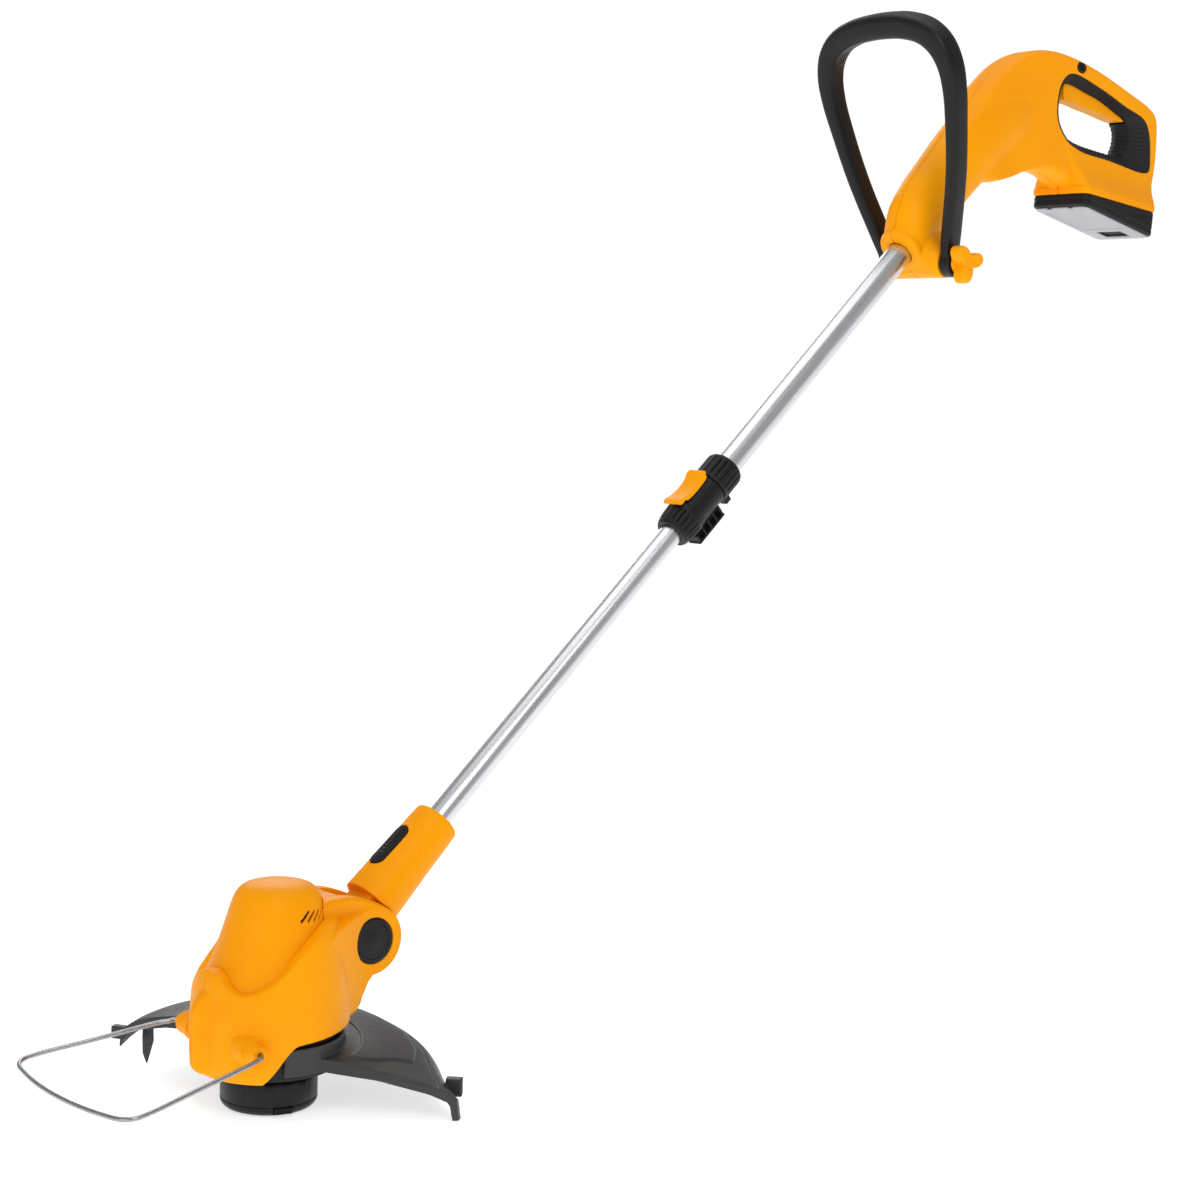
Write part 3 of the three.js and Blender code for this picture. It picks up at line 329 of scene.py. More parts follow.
DSC = plastic("disc_black", (22, 21, 23), (17, 16, 18), (62, 61, 64), 0.4, spec=0.22, wear=0.3)
GRY = plastic("grey_plate", (172, 173, 178), (158, 160, 165), (206, 207, 211), 0.5, wear=0.2)
CEL = plastic("cell_wrap", (66, 116, 166), (58, 104, 152), (120, 160, 200), 0.3, wear=0.2, coat=0.4)
PCB = plastic("board_green", (30, 84, 52), (24, 72, 44), (90, 130, 100), 0.3, wear=0.2, coat=0.5)
LIN = plastic("nylon_line", (214, 96, 34), (196, 84, 28), (240, 150, 90), 0.28, wear=0.1, coat=0.3)
ALU = metal("drawn_aluminium", (216, 217, 220), (200, 201, 204), 0.27, (1, 50, 1), (SH, 0, 0), 300, 0.05, 0.000002, 0.35)
STL = metal("zinc_steel", (176, 176, 178), (140, 140, 143), 0.28, grime=0.2)
BKS = metal("blackened_steel", (74, 74, 77), (50, 50, 53), 0.4, grime=0.2)
BRZ = metal("bronze_part", (190, 150, 84), (150, 112, 56), 0.34, grime=0.3)
for n, m in {'battery_cell_': CEL, 'control_board': PCB, 'terminal_block': BRZ, 'motor_bearing': BRZ, 'motor_mount': STL, 'motor_can': STL, 'motor_rotor': STL,
             'pivot_pin': STL, 'spool_spring': STL, 'handle_bolt': STL, 'shell_screw': STL, 'line_cutter': BKS, 'line_winding': LIN, 'line_spool': BLK,
             'trigger_switch': BLK}.items():
    for o in list(bpy.data.objects):
        if o.name.startswith(n) and o.type == 'MESH':
            o.data.materials.clear(); o.data.materials.append(m)

# ---------------------------------------------------------------- shaft
def tube(s0, s1, ro, ri, name, body, node, mat):
    o = turned([[ro - .4, s0], [ro, s0 + .4], [ro, s1 - .4], [ro - .4, s1], [ri + .3, s1], [ri, s1 - .3], [ri, s0 + .3], [ri + .3, s0]], 128, sh)
    return piece(o, name, body, 'aluminium_tube', mat, node)
tube(22, 560, 11, 9.8, "lower_tube_v", "lower_tube", "lower_tube", ALU)
tube(490.5, 905, 13, 11.6, "upper_tube_v", "handle", "upper_tube", ALU)

C0, C1, C2, C3 = 461, 487, 524, 553
def ribs(n, amp, z0, z1, soft=2.0, off=0.0, only=None):
    def f(r, z, t):
        if r < 13.6: return 0 * t
        k = min(1, max(0, (z - z0) / soft)) * min(1, max(0, (z1 - z) / soft)); k = k * k * (3 - 2 * k)
        w = np.abs(np.sin(n * (t - off) / 2)) ** 0.55
        return -amp * k * (1 - w)
    return f
zz = np.linspace(C0, C1 - .3, 26)
cone = [[pch([[C0, 15.4], [C0 + 2, 16.6], [C0 + 8, 18.0], [C0 + 19, 18.8], [C1 - 1.5, 18.9], [C1 - .3, 18.3]], z), z] for z in zz]
o = turned(cone + [[11.4, C1 - .3], [11.4, C0]], 432, sh, ribs(20, 2.0, C0 + 2.4, C1 - 4.5, 3.5, .157))
b = xf(block(-11.6, 11.6, -22, -16.4, C1 - 8.4, C1), sh); cut(o, b)
piece(o, "collar_lower_ring", "handle", 'black_plastic', BLK, "collar_cone_lower")
zz = np.linspace(C2 + .3, C3, 26)
nut = [[pch([[C2 + .3, 18.2], [C2 + 1.4, 19.0], [C3 - 5, 19.0], [C3 - 1.5, 17.9], [C3, 16.4]], z), z] for z in zz]
o = turned(nut + [[13.4, C3], [13.4, C2 + .3]], 432, sh, ribs(18, 1.9, C2 + 2.8, C3 - 3.2, 2.4))
t = xf(bevel(block(-4, 5, 17.2, 25.5, C2 + 4, C2 + 12), 1.2, 3), sh); join(o, t)
piece(o, "collar_upper_ring", "handle", 'black_plastic', BLK, "collar_nut_upper")
o = turned([[17, C1 + .1], [17.6, C1 + 1], [17.6, C1 + 5], [17.1, C1 + 6], [17.1, C2 - 6], [17.6, C2 - 5], [17.6, C2 - 1], [17, C2 - .1], [13.3, C2 - .1], [13.3, C1 + 2.6], [11.4, C1 + 1.4], [11.4, C1 + .1]], 128, sh)
for i in range(4): join(o, xf(bevel(block(-8, 8, 15.5, 27, C1 + .6 + 9.2 * i, C1 + 3 + 9.2 * i), .5, 2), sh))
join(o, xf(bevel(block(-8, 8, 26.4, 29, C1 - 10, C1 + 31.4), .8, 2), sh), xf(bevel(block(-8, 8, 19.6, 27, C1 - 9, C1 - 6.8), .5, 2), sh))
cut(o, xf(block(-11.8, 11.8, -20, -14.2, C1 + .8, C2 - .8), sh), xf(block(-11.8, 11.8, -20, -16.2, C1 - 1, C2 + 1), sh))
piece(soften(o, .45, 2), "collar_body_v", "handle", 'black_plastic', BLK, "collar_body")
prof = cr([[-16.6, C1 + 2.4], [-18.5, C1 + 1.2], [-18.6, C1 - 5], [-20.4, C1 - 7.6], [-22.8, C1 - 7], [-23.2, C1 - 4], [-20.8, C1 + 4], [-19.6, C1 + 13],
    [-19.8, C1 + 22], [-21.6, C1 + 29], [-24, C1 + 33], [-23.4, C1 + 36], [-20.6, C1 + 36], [-18.9, C1 + 34.6], [-16.6, C1 + 34]], 6, True)
o = xf(slab(prof, -10.8, 10.8), sh)
common(o, turned([[0, C1 - 12], [25.4, C1 - 12], [25.4, C2 + 2], [0, C2 + 2]], 96, sh))
piece(soften(o, .4, 4), "tube_release_thumb", "tube_release_button", 'yellow_plastic', YEL, "tube_release_button")

# ---------------------------------------------------------------- neck sleeve
PY, PZ = 80.1, 131.5
SLV = [[8, 25], [20, 24.6], [60, 22.4], [98, 20.9], [101, 20.4], [102, 19.4]]
o = loft([ring(S(s), EX, NV, pch(SLV, s), pch(SLV, s), 128) for s in [8, 12, 20, 30, 40, 50, 60, 70, 80, 90, 97, 99.5, 101, 102]])
outer = copy(o, "outer")
cut(o, rodX(-60, 60, PY, PZ, 30.9, 96))
def tong(p): return slab([[PY - 17, PZ + 12], [PY + 16, PZ - 16], list(S(p[0], -p[1])[1:]), list(S(p[0], p[1])[1:])], -15, 15)
t1 = common(tong((48, 15)), outer); t2 = common(tong((30, 14)), rodX(-30, 30, PY, PZ, 45, 64))
join(o, rodX(-15, 15, PY, PZ, 24, 96), t1, t2)
def stad(g, h0, h1, k=20):
    a = [(math.cos(math.pi * i / k) * (8 + g), 68 + math.sin(math.pi * i / k) * (8 + g)) for i in range(k + 1)] + \
        [(math.cos(math.pi * (1 + i / k)) * (8 + g), 40 + math.sin(math.pi * (1 + i / k)) * (8 + g)) for i in range(k + 1)]
    return loft([[S(s, h, x) for x, s in a] for h in (h0, h1)])
rim = common(stad(2.6, 15, 30), loft([ring(S(s), EX, NV, pch(SLV, s) + .55, pch(SLV, s) + .55, 128) for s in np.linspace(24, 84, 14)]))
join(o, rim)
cut(o, rodX(-40, 40, PY, PZ, 6.3), xf(rodZ(21, 130, 11.35), sh), xf(rodZ(-18, 130, 5), sh), stad(.35, 14.5, 32))
piece(soften(o, .6, 2), "neck_sleeve_v", "neck_sleeve", 'yellow_plastic', YEL, "neck_sleeve")
o = common(stad(0, 17.6, 30), loft([ring(S(s), EX, NV, pch(SLV, s) + 1.5, pch(SLV, s) + 1.3, 128) for s in np.linspace(24, 84, 14)]))
for i in range(5): cut(o, loft([ring(S(46 + 4 * i, 24.6 - i * .14, x), DV, NV, .55, .8, 16) for x in (-6, 6)]))
piece(soften(o, .35, 3), "sleeve_button_v", "sleeve_button", 'black_plastic', DSC, "sleeve_button")

# ---------------------------------------------------------------- head
BAR = [[30, 58.6], [34, 60], [38, 62.4], [46, 64.4], [60, 65.2], [80, 65], [105, 63.4], [125, 60.5], [150, 56], [175, 51]]
LOW = [[0, 34], [52, 34], [56, 38], [79, 66], [95, 67.5], [126, 69.5], [180, 71]]
STEP = [[0, 121], [12, 118.5], [24, 110], [36, 105.5], [56, 113], [67, 121], [78, 132], [100, 146], [128, 155], [180, 158]]
COV = [[98, 55.5, -2], [108, 53, -1.6], [128, 47, .6], [150, 41.6, 3], [168, 37.4, 4.8], [177, 34, 5.4], [182.6, 28.4, 5.4], [185.8, 18, 5.4], [186.5, 8, 5.4]]
HS = 240
def bring(t, off):
    out = []
    for i in range(HS):
        a = 360 * i / HS; f = 360 - a if a > 180 else a
        z0, z1 = pch(LOW, f), pch(STEP, f); z = z0 + (z1 - z0) * t; r = pch(BAR, z) + off
        out.append((r * math.sin(rad(a)), -r * math.cos(rad(a)), z))
    return np.array(out)
CR, CY = [[z, r] for z, r, y in COV], [[z, y] for z, r, y in COV]
def should(dz, k):
    """shoulder between barrel (k = 0) and cover (k = 1)"""
    out = []
    for i in range(HS):
        a = 360 * i / HS; f = 360 - a if a > 180 else a; z = pch(STEP, f); s, c = math.sin(rad(a)), math.cos(rad(a))
        r0 = pch(BAR, z) - 1.7; r1, yc = pch(CR, z + 1) - .6, pch(CY, z + 1)
        out.append(((r0 + (r1 - r0) * k) * s, (yc - r1 * c) * k - r0 * c * (1 - k), z + dz))
    return np.array(out)
wall = loft([bring(t, o_) for t, o_ in ((0, -.6), (.02, 0), (.1, 0), (.2, 0), (.35, 0), (.5, 0), (.65, 0), (.8, 0), (.9, -.05), (.95, -.35), (.98, -.9))] +
            [should(.5, 0), should(1.0, .3), should(1.3, .6), should(1.7, 1), should(-1.6, 1)] + [bring(t, -2.6) for t in (.93, .75, .5, .25, 0)], True)
def revol(tab, seg=160): return loft([ring((0, yc, z), EX, EY, r, r, seg) for z, r, yc in tab])
def dense(tab, n=40, off=0, dz=0):
    T = np.array(tab); c = cr(T, max(2, n // len(T))); return [(z + dz, r + off, y) for z, r, y in c]
ARM = cr([[20, 72], [62, 70], [68, 75], [73, 88], [84, 102.5], [96, 107], [106, 117], [109.4, 131.5], [106, 146], [96, 156.5], [84, 163], [66, 169], [48, 171], [30, 168], [12, 158]], 5, True)
arm = slab(ARM, -27, 27)
K = np.array([PY, PZ]); join(arm, slab(K + (ARM - K) * .94, -29.6, 29.6), rodX(-31.5, 31.5, PY, PZ, 29.5, 128, ch=1.6))
NZ = [[38, .5], [42, .8], [46, .93], [60, 1], [80, 1], [88, .96], [94, .82], [100, .55], [104, .3]]
nose = loft([cr([[-13, -56], [-10, -60 - 4 * k], [-7, -60 - 9.5 * k], [-3.6, -60 - 13.8 * k], [0, -60 - 14.4 * k], [3.6, -60 - 13.8 * k], [7, -60 - 9.5 * k], [10, -60 - 4 * k], [13, -56], [0, -50]], 5, True) @ np.array([[1, 0, 0], [0, 1, 0]]) + np.array([0, 0, z]) for z, k in NZ])
FAIR = [(56, 12), (52, 26), (45, 42), (38, 56), (33, 68), (31, 80), (-31, 80), (-33, 68), (-38, 56), (-45, 42), (-52, 26), (-56, 12)]
fair = common(slab([(10, 78), (60, 76), (68, 84), (76, 98), (86, 105), (86, 159), (60, 156), (35, 150), (20, 142), (10, 134)], -60, 60), loft([np.array([(x, y, z) for x, y in FAIR]) for z in (60, 175)]))
head = join(wall, arm, nose, fair)
for s in (1, -1):
    join(head, rodX(s * 38, s * 60.4, -47, 63.8, 11.5, 64, 6.2))
    join(head, loft([ring((s * 34, -44, 66), EY, EZ, 15, 13, 48), ring((s * 50, -47, 65), EY, EZ, 12, 10, 48)]))
zs = [20, 34, 40, 50, 60, 75, 90, 101]
cut(head, loft([ring((0, 0, z), EX, EY, pch(BAR, z) - 2.6, pch(BAR, z) - 2.6, 160) for z in zs]),
    revol([(90, 55.8, -2)] + dense(COV, 40, .3)),
    block(-15.5, 15.5, PY - 26.5, 140, 96, 200), rodX(-40, 40, PY, PZ, 6.3), rodX(25.8, 40, PY, PZ, 19.6, 96), rodX(-40, -28.9, PY, PZ, 19.6, 96),
    rodX(51.5, 70, -47, 63.8, 2.3, 32), rodX(-70, -51.5, -47, 63.8, 2.3, 32))
hl = common(copy(head, "hl"), block(.12, 90, -120, 160, 0, 240)); hr = common(head, block(-90, -.12, -120, 160, 0, 240))
piece(soften(largest(hl), .7, 2), "head_shell_left_v", "head", 'yellow_plastic', YEL, "head_shell_left")
piece(soften(largest(hr), .7, 2), "head_shell_right_v", "head", 'yellow_plastic', YEL, "head_shell_right")
cov = revol(dense(COV, 60))
cut(cov, revol([(90, 53, -2)] + [(z - (2.4 if z > 165 else 0), max(r - 2.5, 1), y) for z, r, y in dense(COV, 40)]))
for i in range(4):
    g = bevel(block(20, 60, -1.2, 1.2, -6.6, 6.6), 1.2, 3)
    M = Matrix.Translation((0, .005, .163 - .0005 * i)) @ Matrix.Rotation(rad(4 + 10 * i), 4, 'Z') @ Matrix.Rotation(rad(-50), 4, 'X')
    g.data.transform(M); cut(cov, g)
piece(soften(cov, .7, 2), "motor_cover_v", "head", 'yellow_plastic', YEL, "motor_cover")
o = turned([[52, 35.2], [56, 35.6], [57.2, 37.2], [57.2, 71.6], [56.8, 72], [55, 72], [55, 40], [12, 40], [12, 36], [50, 36]], 160)
cut(o, block(-80, 80, -80, -30, 52, 90))
piece(bevel(o, .4, 2, 50), "motor_base_v", "head", 'black_plastic', BLK, "motor_base")
def disc(x0, x1, name, body, node):
    s = 1 if x1 > x0 else -1
    P = [(x0, 19.2), (x1 - s * .8, 19.2), (x1 - s * .2, 18.7), (x1, 18), (x1 - s * .1, 15.8), (x1 - s * .7, 15.2), (x1 - s * .7, 6.5), (x1 - s * .4, 5.4), (x1 - s * .3, .5)]
    piece(loft([ring((x, PY, PZ), EY, EZ, r, r, 96) for x, r in P]), name, body, 'black_plastic', DSC, node)
disc(29, 32.2, "tilt_button_v", "tilt_button", "tilt_button"); disc(-29.2, -32.2, "pivot_cap_v", "head", "pivot_cap")

# ---------------------------------------------------------------- wire guard
half = [(52.4, -47, 63.8), (60, -47, 63.8), (65.4, -49.4, 63.4), (67.2, -55, 62.6), (70, -62, 61.9), (80.5, -116, 54.4), (89.6, -163, 48), (89, -174, 46.4), (82, -181.4, 45.4), (60, -187, 44.6), (30, -191, 44.1), (0, -192.2, 43.9)]
path = cr(half + [(-x, y, z) for x, y, z in half[:-1][::-1]], 8)
def sweep(P, r, seg=20, up=(0, .15, 1)):
    R = []
    for i in range(len(P)):
        t = P[min(i + 1, len(P) - 1)] - P[max(i - 1, 0)]; t /= np.linalg.norm(t); u = np.cross(up, t); u /= np.linalg.norm(u); R.append(ring(P[i], u, np.cross(t, u), r, r, seg))
    return loft(R)
piece(sweep(path, 2.0), "wire_guard_v", "wire_guard", 'steel', STL, "wire_guard")

# ---------------------------------------------------------------- spool
o = turned([[3.4, 30.6], [3.4, 22], [8, 22], [8, 12.6], [10, 12.6], [10, 24], [36.8, 24], [36.8, 9], [39.6, 9], [39.9, 9.4], [39.9, 26.4], [39.4, 27.6], [37.6, 30.2], [37, 30.6]], 160,
           rad_fn=lambda r, z, t: (-.7 * (np.abs(np.sin(9 * t)) < .14) if r > 39.2 and 11 < z < 26.5 else 0 * t))
piece(o, "spool_housing_v", "spool", 'black_plastic', SAT, "spool_housing")
o = turned([[0, .05], [26, .05], [30, .25], [33.5, .9], [36.4, 2.0], [38.4, 3.8], [39.4, 5.4], [39.9, 7.2], [39.9, 8.7], [36.4, 8.7], [36.4, 7], [33, 3], [0, 3]], 160)
cuts = []
for i in (0, 1):
    g = bevel(block(33, 45, -8.4, 8.4, 2.4, 12), .8, 2); g.data.transform(Matrix.Rotation(rad(-15 + 180 * i), 4, 'Z')); cut(o, g)
piece(bevel(o, .3, 2, 50), "spool_cap_v", "spool", 'black_plastic', SAT, "spool_cap")
for i, n in ((0, "spool_latch_a"), (1, "spool_latch_b")):
    g = bevel(block(37.6, 40.6, -7.6, 7.6, 3.2, 8.5), .7, 3)
    for k in range(3): cut(g, block(40.1, 42, -6, 6, 4.3 + 1.3 * k, 4.8 + 1.3 * k))
    g.data.transform(Matrix.Rotation(rad(-15 + 180 * i), 4, 'Z')); piece(g, n + "_v", n, 'black_plastic', DSC, n)

# ---------------------------------------------------------------- debris guard
def rim_top(x): return 39.4 - .12 * x
GF, GT = 36.5, 214.0
def gp(r, f, z):
    k = max(0, 1 - (f - GF) / (GT - GF)) ** 4
    a = rad(f + (float(np.interp(r, [58, 70, 85, 100, 120, 139, 160], [3, 13, 22, 28, 33, 36.5, 38.5])) - GF) * k)
    g = r + 19 * min(1, max(0, (r - 96) / 34)) * max(0, 1 - (f - GF) / 26) ** 2
    return (g * math.cos(a), g * math.sin(a) + 4 * (r / 139), max(rim_top(g * math.cos(a)) + z, .6))
sstep = lambda v: (lambda q: q * q * (3 - 2 * q))(min(1.0, max(0.0, v)))
def gtop(r, f):
    z = pch([[58.4, 19.5], [72, 18.2], [86, 16], [101, 12.4], [116, 7.5], [129, 1], [134, -3.4], [137, -8]], r)
    f0 = GF + 9 + 4 * math.tanh((r - 96) / 9); f1 = GT - 24 - 7 * math.tanh((r - 96) / 9)
    ro = 119 - 5 * sstep((GF + 30 - f) / 22)
    z += 1.5 * sstep((r - 72) / 2.2) * sstep((ro - r) / 2.2) * sstep((f - f0) / 1.8) * sstep((f1 - f) / 1.8)
    z -= .9 * math.exp(-((r - 126.2) / .9) ** 2)
    return z
def gsec(f):
    c, s = math.cos(rad(f)), math.sin(rad(f))
    drop = pch([[GF, 21], [GF + 4, 19], [GF + 14, 13], [90, 13], [150, 13], [GT - 14, 15], [GT, 20]], f)
    rs = np.concatenate([np.linspace(58.4, 72, 5), np.linspace(72.6, 76, 7), np.linspace(79, 111, 12), np.linspace(112, 137, 40)])
    top = [(r, gtop(r, f)) for r in rs] + [(138.2, -8 - .35 * (drop - 8)), (139.2, -8 - .75 * (drop - 8)), (139.6, -drop), (139.2, -drop - .6)]
    bot = [(137.6, -drop - .6), (137.0, -8 - .7 * (drop - 8)), (135.2, -8.4), (131.6, -4.2), (127.4, -1.2), (115, 5), (100, 10), (85.6, 13.4), (70, 16.0), (58.4, 17)]
    return np.array([gp(r, f, z) for r, z in top + bot])
g = loft([gsec(f) for f in np.linspace(GF, GT, 190)])
def lipweb(f, side):
    c, s = math.cos(rad(f)), math.sin(rad(f)); t = A3(-s * side, c * side, 0)
    P = np.array([gp(r, f, z) for r, z in [(60, 19), (96, 13), (128, 1.2), (136, -8), (132, -9), (122, -3.4), (96, 4), (60, 9)]])
    return loft([P, P + t * 2.6])
def lug(f, r0, r1, w, z0, z1):
    o = bevel(block(r0, r1, -w / 2, w / 2, z0, z1), 1.1, 3); o.data.transform(Matrix.Translation((0, .004, 0)) @ Matrix.Rotation(rad(f), 4, 'Z')); return o
hub = cut(turned([[58.2, 40], [61.4, 40], [61.4, 62], [58.2, 62]], 160), block(-90, 90, -90, -22, 20, 90))
LT = A3(-math.sin(rad(GF)), math.cos(rad(GF)), 0)
leg = np.array([gp(r, GF, z) for r, z in [(126, 2.4), (132, 0), (138.4, -8), (140.4, -32), (135.4, -32), (133.4, -12), (130, -6)]])
join(g, loft([leg, leg + LT * 6.5]), lipweb(GF, 1), lipweb(GT, -1), lug(46, 143, 157, 9, rim_top(112) - 13, rim_top(112) + 2), lug(GT - 2, 136, 148, 8, rim_top(-112) - 15, rim_top(-112) - 4), hub)
cut(g, common(loft([ring((0, 0, z), EX, EY, pch(BAR, z) + .5, pch(BAR, z) + .5, 160) for z in (20, 34, 40, 60, 105, 175)]), block(-90, 0, -90, -4, 0, 200)), rodZ(0, 80, 58.1, 160))
piece(soften(largest(g), .62, 1), "guard_v", "head", 'guard_plastic', GRD, "guard")

# ---------------------------------------------------------------- rear handle
NECK = [[872, 2, 21.5, 21.5], [880, 3, 22.5, 22.5], [892, 8, 24, 26.5], [906, 13, 25, 29], [935, 16, 26, 32], [962, 17, 27, 33], [1010, 18, 28, 35.5], [1046, 16, 28, 36], [1076, 10, 26, 34], [1100, 6, 23, 32], [1122, 2, 19.5, 28]]
def neck(off, lo=0, hi=9999, e=.9, k=5): return loft([ring(S(s, h), EX, NV, a + off, b + off, 96, e) for s, h, a, b in cr([r for r in NECK if lo <= r[0] <= hi], k)])
LOOP = [[815, 868], [838, 908], [862, 932], [885, 948], [912, 959], [944, 964], [979, 962], [1025, 953], [1080, 936], [1124, 920], [1134, 911], [1137, 890], [1136, 858], [1130, 830], [1122, 813], [1060, 819], [985, 826], [960, 835], [935, 838], [900, 832], [870, 822], [845, 820]]
def bev(o, cy, cz, k):
    o = np.asarray(o, float); d = o - np.array([cy, cz]); return o - d / np.linalg.norm(d, axis=1)[:, None] * k
LP = cr(LOOP, 7, True); LP[:, 0] = np.minimum(LP[:, 0], 1137)
prof = [(-21.5, 8), (-21.2, 6.4), (-20.2, 4.7), (-18.4, 3.1), (-16.5, 2.1), (-13.6, .9), (-9.5, 0)]
h = loft([at(bev(LP, 1000, 885, k), x) for x, k in prof] + [at(bev(LP, 1000, 885, k), -x) for x, k in prof[::-1]])
slope = lambda y: 811.3 + (y - 1050) * math.tan(BD)
SHOE = [[.3, 36.6, 986.4, 1116.8, 9], [.9, 37.2, 986, 1117.2, 9], [4, 37.4, 986, 1117.4, 9], [7.6, 37.4, 986, 1117.4, 9], [8.3, 36.5, 986.8, 1117, 9], [9.1, 36.1, 987, 1117, 9], [9.8, 36.4, 986.8, 1117.6, 9], [13, 34.6, 985.6, 1119, 9], [18, 31.4, 984, 1121, 9], [24, 28, 980, 1123.6, 9], [30, 25.4, 976, 1126, 8], [37, 23.4, 972, 1127.4, 8], [44, 22, 968, 1128, 7]]
shoe = loft([np.array([(x, y, slope(y) + dz) for x, y in rrect(-a, a, y0, y1, r, 10)]) for dz, a, y0, y1, r in SHOE])
FL = [[34, 767, 729.5, 14.6], [28, 766, 732.5, 17.4], [22, 764, 738, 22], [14, 761, 744, 26.5], [0, 759, 748, 29]]
flare = loft([ring((x, y, z), EY, EZ, r, r, 96) for x, y, z, r in cr([[-x, y, z, r] for x, y, z, r in FL] + FL[-2::-1], 5)])
cut(flare, xf(rodZ(840, 873, 70), sh))
join(h, neck(0), shoe, rodX(-34, 34, 767, 729.5, 14.4, 96, ch=1.4), flare)
# thick rolled ring round the mouth of the neck
join(h, loft([ring(S(s, hh), EX, NV, q, q, 128) for s, hh, q in ((871.2, 2, 19), (871.6, 2, 21.4), (873, 2, 23), (876, 2.4, 23.7), (879, 2.9, 23.2), (881, 3.4, 21))]))
OPEN = [[951, 912], [957, 931], [972, 942], [1022, 933], [1070, 918], [1108, 906], [1117, 893], [1121, 868], [1120, 852], [1108, 849], [1046, 857], [993, 863], [968, 873], [953, 891]]
HOLE = [[961, 910], [967, 925], [980, 931], [1022, 922.5], [1060, 911], [1082, 903], [1089, 893], [1088, 880], [1080, 868], [1070, 866.5], [1042, 868], [996, 874], [976, 881], [963, 893]]
OP, HO = cr(OPEN, 7, True), cr(HOLE, 7, True); IO = bev(OP, 1036, 896, 2.4)
def hole(k=0): return loft([at(bev(IO, 1036, 896, k), -30), at(bev(IO, 1036, 896, k), -21), at(bev(HO, 1036, 896, -4 + k), -12), at(bev(HO, 1036, 896, k), -4), at(bev(HO, 1036, 896, k), 4), at(bev(HO, 1036, 896, -4 + k), 12), at(bev(IO, 1036, 896, k), 21), at(bev(IO, 1036, 896, k), 30)])
slot = lambda w=9.5: slab([[971.5, 900], [971.5, 946.3], [1010, 942.4], [1050, 933], [1095, 925], [1095, 900]], -w, w)
cut(h, slab(OP, -60, 60), slot(), xf(block(-32.8, 32.8, -53, 90, -5, 12), pk), xf(block(-26, 26, -40, -14, 11, 23), pk), xf(rodZ(860, 905.6, 13.35), sh),
    rodX(-60, 60, 767, 729.5, 4.3), neck(-2.6, 930, 1050, .9, 3), slab([[880, 870], [900, 925], [925, 942], [944, 944], [945, 900], [940, 860], [900, 850]], -19, 19),
    slab([[940, 900], [978, 925], [978, 940], [940, 935]], -7, 7), loft([ring((x, 990, 950.4), EY, EZ, 8.5, 6, 64) for x in (-40, 40)]))
# split into left and right shells, screw holes in the right shell
hl = common(copy(h, "hl"), block(.1, 90, 600, 1300, 600, 1100)); hr = common(h, block(-90, -.1, 600, 1300, 600, 1100))
SC = [list(S(925, 33)[1:]), list(S(985, -9)[1:]), [868, 905], [956, 950], [1126, 915], [1127, 838]]
for y, z in SC: cut(hr, rodX(-60, -6, y, z, 2.9, 32))
piece(soften(largest(hl), .85, 2), "handle_shell_left_v", "handle", 'yellow_plastic', YEL, "handle_shell_left")
piece(soften(largest(hr), .85, 2), "handle_shell_right_v", "handle", 'yellow_plastic', YEL, "handle_shell_right")
li = slab(bev(OP, 1036, 896, .3), -21.4, 21.4); cut(li, hole(), slot())
for i in range(7):
    z = 873 + 4.6 * i; r_ = common(block(-20, 20, 1060, 1125, z - .75, z + .75), hole()); cut(r_, hole(1.0)); join(li, r_)
for i in range(9):
    y = 1000 + 7 * i; r_ = common(block(-20, 20, y - .8, y + .8, 850, 885), hole()); cut(r_, hole(.8)); join(li, r_)
piece(soften(largest(li), .6, 1), "grip_liner_v", "handle", 'black_plastic', RUB, "grip_liner")
tr = slab(cr([[978, 918], [986, 915.6], [1000, 914.2], [1020, 911], [1040, 908.6], [1060, 905.2], [1076, 903.2], [1084, 903.4], [1089, 907], [1089, 914], [1064, 919], [1040, 924], [1008, 929], [978, 934.6]], 4, True), -8.8, 8.8)
piece(soften(tr, .5, 5), "trigger_v", "trigger", 'yellow_plastic', YEL, "trigger")
P = [(-21.9, .55), (-21.6, .8), (-20.9, .96), (-20, 1), (20, 1), (20.9, .96), (21.6, .8), (21.9, .55)]
lk = loft([ring((x, 990, 950.4), EY, EZ, 8.1 * k, 5.6 * k, 64) for x, k in P])
for i in range(-2, 3): cut(lk, slab([(990 + 2 * i - .35, 940), (990 + 2 * i + .35, 940), (990 + 2 * i + .35, 960), (990 + 2 * i - .35, 960)], 21.3, 24))
piece(bevel(lk, .15, 1, 50), "lock_off_v", "lock_off_button", 'black_plastic', DSC, "lock_off_button")

# ---------------------------------------------------------------- front handle
LA = rad(108); UP, NR = A3(0, math.cos(LA), math.sin(LA)), A3(0, -math.sin(LA), math.cos(LA)); OB = A3(0, 767, 729.5)
HF = [[41.2, 2, 5.8, 11], [41.6, 14, 6.2, 11.4], [45.6, 28, 6.8, 11.6], [53, 51, 7, 11.6], [59.6, 72, 7.1, 11.6], [66.6, 98, 7.3, 11.8], [74.6, 138, 7.8, 12], [79.4, 170, 8.8, 12.4], [78.8, 196, 10.2, 13], [71, 216, 11.6, 13.6], [56, 230, 12.4, 14], [34, 237.6, 12.7, 14], [12, 240, 12.7, 14]]
ln = cr(HF + [[-x, s, a, b] for x, s, a, b in HF[::-1]], 14)
def rr_sec(t, a, b):
    """soft rectangle with a broad flat outside face"""
    e = .62; f = lambda q: math.copysign(abs(q) ** e, q); return a * f(math.cos(t)), b * f(math.sin(t))
arc = np.concatenate([[0], np.cumsum(np.linalg.norm(np.diff(ln[:, :2], axis=0), axis=1))]); mid = arc[-1] / 2
R = []
